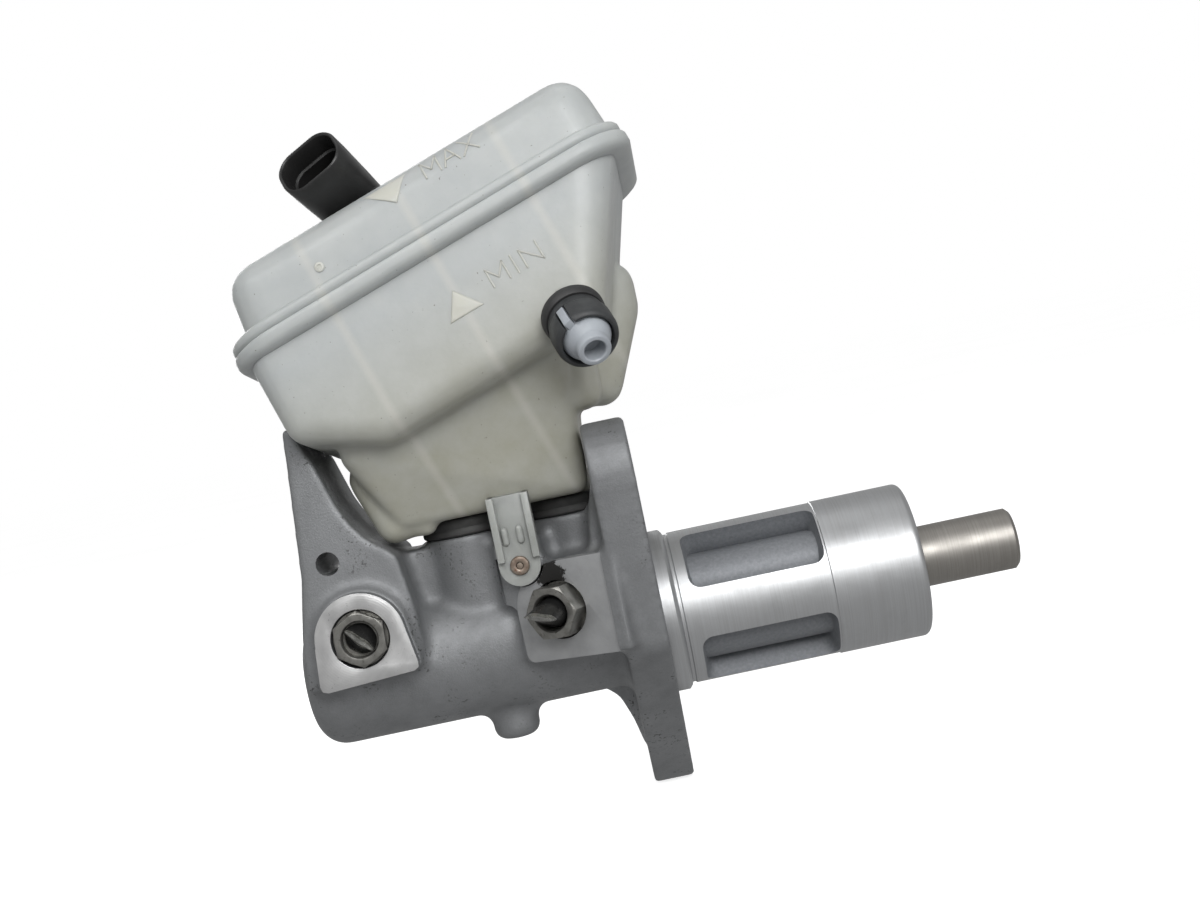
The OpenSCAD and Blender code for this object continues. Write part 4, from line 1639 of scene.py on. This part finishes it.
@dataclass
class FillerCap:
    """Ribbed screw cap of the filler neck."""

    at: tuple[float, float] = (22.0, -3.0)
    r: float = 18.0
    low: float = 124.8
    high: float = 130.6
    ribs: int = 24

    def build(self, plastic: bpy.types.Material) -> bpy.types.Object:
        """Builds the cap.

        Args:
            plastic: Finish of the cap.

        Returns:
            The piece.
        """
        place = RES.place().moved(*self.at, 0)
        grip = [(r, a) for i in range(self.ribs) for r, a in ((self.r + 0.7, i), (self.r, i + 0.3),
                                                              (self.r, i + 0.7))]
        outline = [(r * math.cos(2 * math.pi * a / self.ribs), r * math.sin(2 * math.pi * a / self.ribs))
                   for r, a in grip]
        cap = extrude("filler_lid", place, outline, self.low, self.high - 1)
        bevel(cap, 0.3, 2, 50)
        low, high, r = self.low, self.high, self.r
        top = lathe("top", place, [
            (0, low + 2), (r - 0.6, low + 2), (r - 0.6, high - 0.9), (r - 1.4, high), (12.2, high),
            (11.9, high - 0.4), (0, high - 0.4)], 96)
        well = lathe("well", place, [(0, 110), (15.9, 110), (15.9, 129.6), (0, 129.6)], 96)
        bar = loft("grip_bar", place, (-11, -2.2, 11, 2.2), 2.1, [(0, 130), (0, 130.4), (0.3, 130.6)])
        cap = join("filler_lid", [cap, top])
        soften(cap, 0.35, 1)
        carve(cap, [well])
        cap = join("filler_lid", [cap, bar])
        paint(cap, plastic)
        shade(cap, 35)
        return place_piece(cap, Body.CAP, ["filler_cap"])


# ---------------------------------------------------------------- pipe ends


@dataclass
class PipeEnd:
    """Tube nut in a port, with the nipped end of its pipe."""

    port: PipePort
    name: str
    nut_node: str
    pipe_node: str
    hex_top: float
    turn: float
    shoulder: float
    tip: float
    pinch: float
    across_flats: float = 12.5

    def nut(self) -> bpy.types.Object:
        """Hexagon nut with chamfered corners and a through hole.

        Returns:
            The nut.
        """
        place = self.port.place.turned("Z", self.turn)
        r = self.across_flats / math.sqrt(3)
        low, top = -self.port.ring_depth + 0.15, self.hex_top
        corners = [(r * math.cos(math.radians(60 * i)), r * math.sin(math.radians(60 * i))) for i in range(6)]
        nut = extrude(self.name + "_nut", place, corners, low, top)
        form = lathe("chamfer", place, [
            (0, low), (r + 1, low), (r + 1, top - 1.2), (r - 0.85, top), (0, top)], 72)
        carve(nut, [form], Cut.COMMON)
        hole = lathe("hole", place, [
            (0, -20), (3.2, -20), (3.2, top - 4.5), (4.45, top - 3.6), (4.45, top - 0.5), (4.9, top + 0.1),
            (4.9, top + 5), (0, top + 5)], 64)
        carve(nut, [hole])
        bevel(nut, 0.18, 2, 28)
        collar = lathe("collar", place, [
            (3.3, low - 9), (5.85, low - 9), (5.85, low), (r - 0.1, low), (r - 0.05, low + 0.5),
            (r - 0.3, low + 0.9), (3.3, low + 0.9)], 64, loop=True)
        return join(self.name + "_nut", [nut, collar])

    def pipe(self) -> bpy.types.Object:
        """Pipe that is round in the nut and nipped flat at its cut.

        Returns:
            The pipe.
        """
        place = self.port.place.turned("Z", self.pinch)
        stages = [(-11, 3.0, 3.0), (self.shoulder - 2.2, 3.0, 3.0), (self.shoulder - 0.8, 3.9, 3.9),
                  (self.shoulder, 4.05, 4.0)]
        span = self.tip - self.shoulder
        for t, wide, thick in ((0.25, 4.15, 3.5), (0.5, 4.25, 2.6), (0.7, 4.3, 1.7), (0.86, 4.25, 1.0),
                               (0.93, 4.2, 0.68), (1.0, 4.1, 0.5)):
            stages.append((self.shoulder + span * t, wide, thick))
        rings = []
        for h, wide, thick in stages:
            ring = []
            for i in range(40):
                a = 2 * math.pi * i / 40
                wave = 0.12 * math.sin(5 * a + h) * min(1.0, max(0.0, (h - self.shoulder) / span)) * thick
                ring.append(place.row(wide * math.cos(a), (thick + wave) * math.sin(a), h))
            rings.append(ring)
        return rings_object(self.name + "_pipe", rings)

    def build(self, zinc: bpy.types.Material, black: bpy.types.Material,
              bare: bpy.types.Material) -> list[bpy.types.Object]:
        """Builds the nut and the pipe.

        Args:
            zinc: Dull plated finish.
            black: Coated finish of the pipe.
            bare: Bright finish of the nipped edge.

        Returns:
            The pieces.
        """
        nut = self.nut()
        paint(nut, zinc)
        shade(nut, 28)
        pipe = self.pipe()
        paint(pipe, black, bare)
        back = self.port.place.matrix.inverted()
        edge = self.shoulder + (self.tip - self.shoulder) * 0.84
        repaint(pipe, 1, lambda c, n: (back @ c).z > edge)
        shade(pipe, 60)
        return [place_piece(nut, Body.CASTING, [self.nut_node]),
                place_piece(pipe, Body.CASTING, [self.pipe_node])]


# ---------------------------------------------------------------- frame pieces, stage


@dataclass
class InnerParts:
    """CAD nodes that keep their own shape and take a finish."""

    finishes: dict[str, bpy.types.Material]

    def dress(self) -> None:
        """Gives each node its finish."""
        for node, material in self.finishes.items():
            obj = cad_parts[node]
            for slot in obj.material_slots:
                slot.material = material
            LOG.info("%s: dressed", node)


@dataclass
class Studio:
    """Floor, lights, world and camera."""

    floor_z: float = -49.2
    eye: tuple[float, float, float] = (-7.1, -464.0, 61.0)
    down: float = 2.0
    roll: float = 11.9
    lens: float = 53.25
    sky_light: float = 0.38

    def floor(self) -> None:
        """A wide pale floor."""
        s = Shader("floor_paper")
        s.link(s.ramp(s.noise(300, 3), (0.3, (0.58, 0.58, 0.58)), (0.7, (0.62, 0.62, 0.62))), "Base Color")
        s.set(Roughness=0.95, Specular_IOR_Level=0.0, Emission_Color=(1, 1, 1, 1), Emission_Strength=0.77)
        size = 60000
        outline = [(-size, -size), (size, -size), (size, size), (-size, size)]
        plane = extrude("floor", ROW, outline, self.floor_z - 5, self.floor_z)
        paint(plane, s.material)
        plane.visible_diffuse = False
        plane.visible_glossy = False

    def lamp(self, name: str, at: Vector, size: float, power: float, tone: Colour = (1, 1, 1)) -> None:
        """A square area lamp that faces the part.

        Args:
            name: Name of the lamp.
            at: Its place in millimetres.
            size: Side in millimetres.
            power: Strength in watts.
            tone: Colour of its light.
        """
        data = bpy.data.lights.new(name, "AREA")
        data.energy = power
        data.size = size * MM
        data.color = tone
        lamp = bpy.data.objects.new(name, data)
        lamp.location = at * MM
        aim = Vector((-10, 0, 40)) - at
        lamp.rotation_euler = aim.to_track_quat("-Z", "Y").to_euler()
        bpy.context.scene.collection.objects.link(lamp)

    def camera(self) -> None:
        """The camera, rolled about its own axis."""
        data = bpy.data.cameras.new("camera")
        data.lens = self.lens
        data.sensor_width = 36
        camera = bpy.data.objects.new("camera", data)
        e, a = math.radians(self.down), math.radians(self.roll)
        ahead = Vector((0, math.cos(e), -math.sin(e)))
        rise = Vector((0, math.sin(e), math.cos(e)))
        side = Vector((1, 0, 0))
        right = side * math.cos(a) - rise * math.sin(a)
        up = side * math.sin(a) + rise * math.cos(a)
        turn = Matrix((right, up, -ahead)).transposed().to_4x4()
        camera.matrix_world = Matrix.Translation(Vector(self.eye) * MM) @ turn
        bpy.context.scene.collection.objects.link(camera)
        bpy.context.scene.camera = camera

    def sky(self) -> None:
        """White surroundings that light the part more gently than they look."""
        world = bpy.data.worlds.new("studio")
        world.use_nodes = True
        tree = world.node_tree
        seen = tree.nodes.new("ShaderNodeLightPath").outputs["Is Camera Ray"]
        power = tree.nodes.new("ShaderNodeMapRange")
        power.inputs["To Min"].default_value = self.sky_light
        power.inputs["To Max"].default_value = 1.0
        tree.links.new(seen, power.inputs["Value"])
        tree.nodes["Background"].inputs[0].default_value = (1, 1, 1, 1)
        tree.links.new(power.outputs["Result"], tree.nodes["Background"].inputs[1])
        bpy.context.scene.world = world

    def build(self) -> None:
        """Sets the whole stage."""
        self.floor()
        self.lamp("key", Vector((-300, -560, 640)), 420, 1.9)
        self.lamp("front", Vector((160, -700, 380)), 360, 3.4)
        self.lamp("fill", Vector((560, -560, 240)), 420, 0.7)
        self.lamp("top", Vector((60, 60, 760)), 420, 0.3)
        self.lamp("back", Vector((-260, 660, 260)), 420, 1.9)
        self.sky()
        bpy.context.scene.view_settings.view_transform = "Standard"
        self.camera()


def main() -> None:
    """Builds the sub-assemblies in order and sets the stage."""
    logging.basicConfig(level=logging.INFO, format="%(name)s %(message)s")
    cast = CastFinish().make()
    pocket = PocketFinish().make()
    spigot_skin = TurnedFinish("turned_aluminium", (0.53, 0.54, 0.55), (0.47, 0.475, 0.48), 0.36, 0.004,
                               0.3).make()
    rod_skin = TurnedFinish("ground_steel", (0.36, 0.345, 0.32), (0.30, 0.285, 0.265), 0.4, 0.004, 0.3).make()
    light_alloy = TurnedFinish("turned_alloy", (0.72, 0.72, 0.70), (0.55, 0.55, 0.53), 0.3).make()
    milled = MilledFinish("spot_face", (-75.0, -25.0, 12.0)).make()
    faced = SootyFinish("faced_aluminium", REAR_PORT.place.moved(-0.6, 8.6, 0).matrix.to_translation()).make()
    # The reservoir shell gets painted light bands over its three baffles.
    shell = ShellFinish("reservoir_shell", RES.way(1, 0, 0), RES.way(0, 0, 1), (-30.0, -2.2, 25.6)).make()
    marks = ShellFinish("mark_plastic", RES.way(1, 0, 0), RES.way(0, 0, 1), (), (0.54, 0.54, 0.48),
                        (0.52, 0.51, 0.43)).make()
    tab = ShellFinish("tab_plastic", RES.way(1, 0, 0), RES.way(0, 0, 1), (), (0.30, 0.315, 0.31),
                      (0.29, 0.30, 0.285)).make()
    rubber = PlainFinish("seal_rubber", (0.035, 0.035, 0.036), (0.018, 0.018, 0.018), roughness=0.55).make()
    dull_rubber = PlainFinish("grommet_rubber", (0.055, 0.055, 0.053), (0.022, 0.022, 0.022), roughness=0.6,
                              depth=0.06).make()
    boot_rubber = PlainFinish("boot_rubber", (0.045, 0.048, 0.05), (0.018, 0.019, 0.02), roughness=0.5).make()
    black = PlainFinish("black_plastic", (0.022, 0.022, 0.022), (0.012, 0.012, 0.012), roughness=0.36,
                        grain=0.35).make()
    pale = PlainFinish("pale_plastic", (0.40, 0.43, 0.46), (0.30, 0.32, 0.35), roughness=0.38).make()
    zinc = PlainFinish("dull_zinc", (0.30, 0.295, 0.275), (0.17, 0.167, 0.155), 0.8, 0.36, 0.4, 0.05, 3.0,
                       (0.08, 0.075, 0.065)).make()
    rusty = PlainFinish("rusty_pin", (0.34, 0.29, 0.24), (0.18, 0.13, 0.10), 0.7, 0.45, 0.4, 0.05, 1.5,
                        (0.14, 0.06, 0.03)).make()
    coated = PlainFinish("coated_pipe", (0.020, 0.020, 0.020), (0.010, 0.010, 0.010), 0.2, 0.25, 0.8,
                         0.10).make()
    bare = PlainFinish("nipped_edge", (0.42, 0.42, 0.40), (0.16, 0.16, 0.15), 0.9, 0.3, 0.5, 0.12, 1.2).make()
    steel = PlainFinish("spring_steel", (0.45, 0.46, 0.48), (0.30, 0.31, 0.32), 0.95, 0.3).make()
    dark_plastic = PlainFinish("bush_plastic", (0.12, 0.12, 0.125), (0.08, 0.08, 0.085), roughness=0.5).make()
    brass = PlainFinish("terminal_tin", (0.62, 0.55, 0.36), (0.45, 0.38, 0.24), 0.95, 0.3).make()
    glass = PlainFinish("reed_glass", (0.70, 0.76, 0.74), (0.60, 0.66, 0.64), roughness=0.1).make()

    CastBody().build(cast, milled, faced)
    Spigot().build(spigot_skin, pocket)
    LowerShell().build(shell)
    UpperShell().build(shell)
    LevelMarks().build(marks)
    RetainingTab().build(tab, rusty)
    LevelSensor().build(black)
    HoseOutlet().build(rubber, boot_rubber, pale)
    Grommet(-44.5, "front_grommet_ring", "front_grommet").build(dull_rubber)
    Grommet(-17.0, "rear_grommet_ring", "rear_grommet").build(dull_rubber)
    FillerCap().build(black)
    PipeEnd(FRONT_PORT, "front", "front_tube_nut", "front_pipe_stub", 1.3, 28, -2.4, 3.2, -46).build(
        zinc, coated, bare)
    PipeEnd(REAR_PORT, "rear", "rear_tube_nut", "rear_pipe_stub", 5.2, 0, 1.6, 11.3, -12).build(
        zinc, coated, bare)
    InnerParts({
        "guide_bush": dark_plastic, "rod_seal": rubber, "circlip": steel, "stop_pin": steel,
        "primary_piston": rod_skin, "primary_cup": rubber, "primary_rear_cup": rubber, "spring_screw": steel,
        "secondary_piston": light_alloy, "secondary_cup": rubber, "secondary_rear_cup": rubber,
        "spring_retainer": steel, "primary_spring": steel, "secondary_spring": steel, "cap_gasket": rubber,
        "filler_strainer": pale, "sensor_terminals": brass, "reed_switch": glass, "level_float": dark_plastic,
        "float_magnet": dark_plastic,
    }).dress()
    Studio().build()


if __name__ == "__main__":
    main()
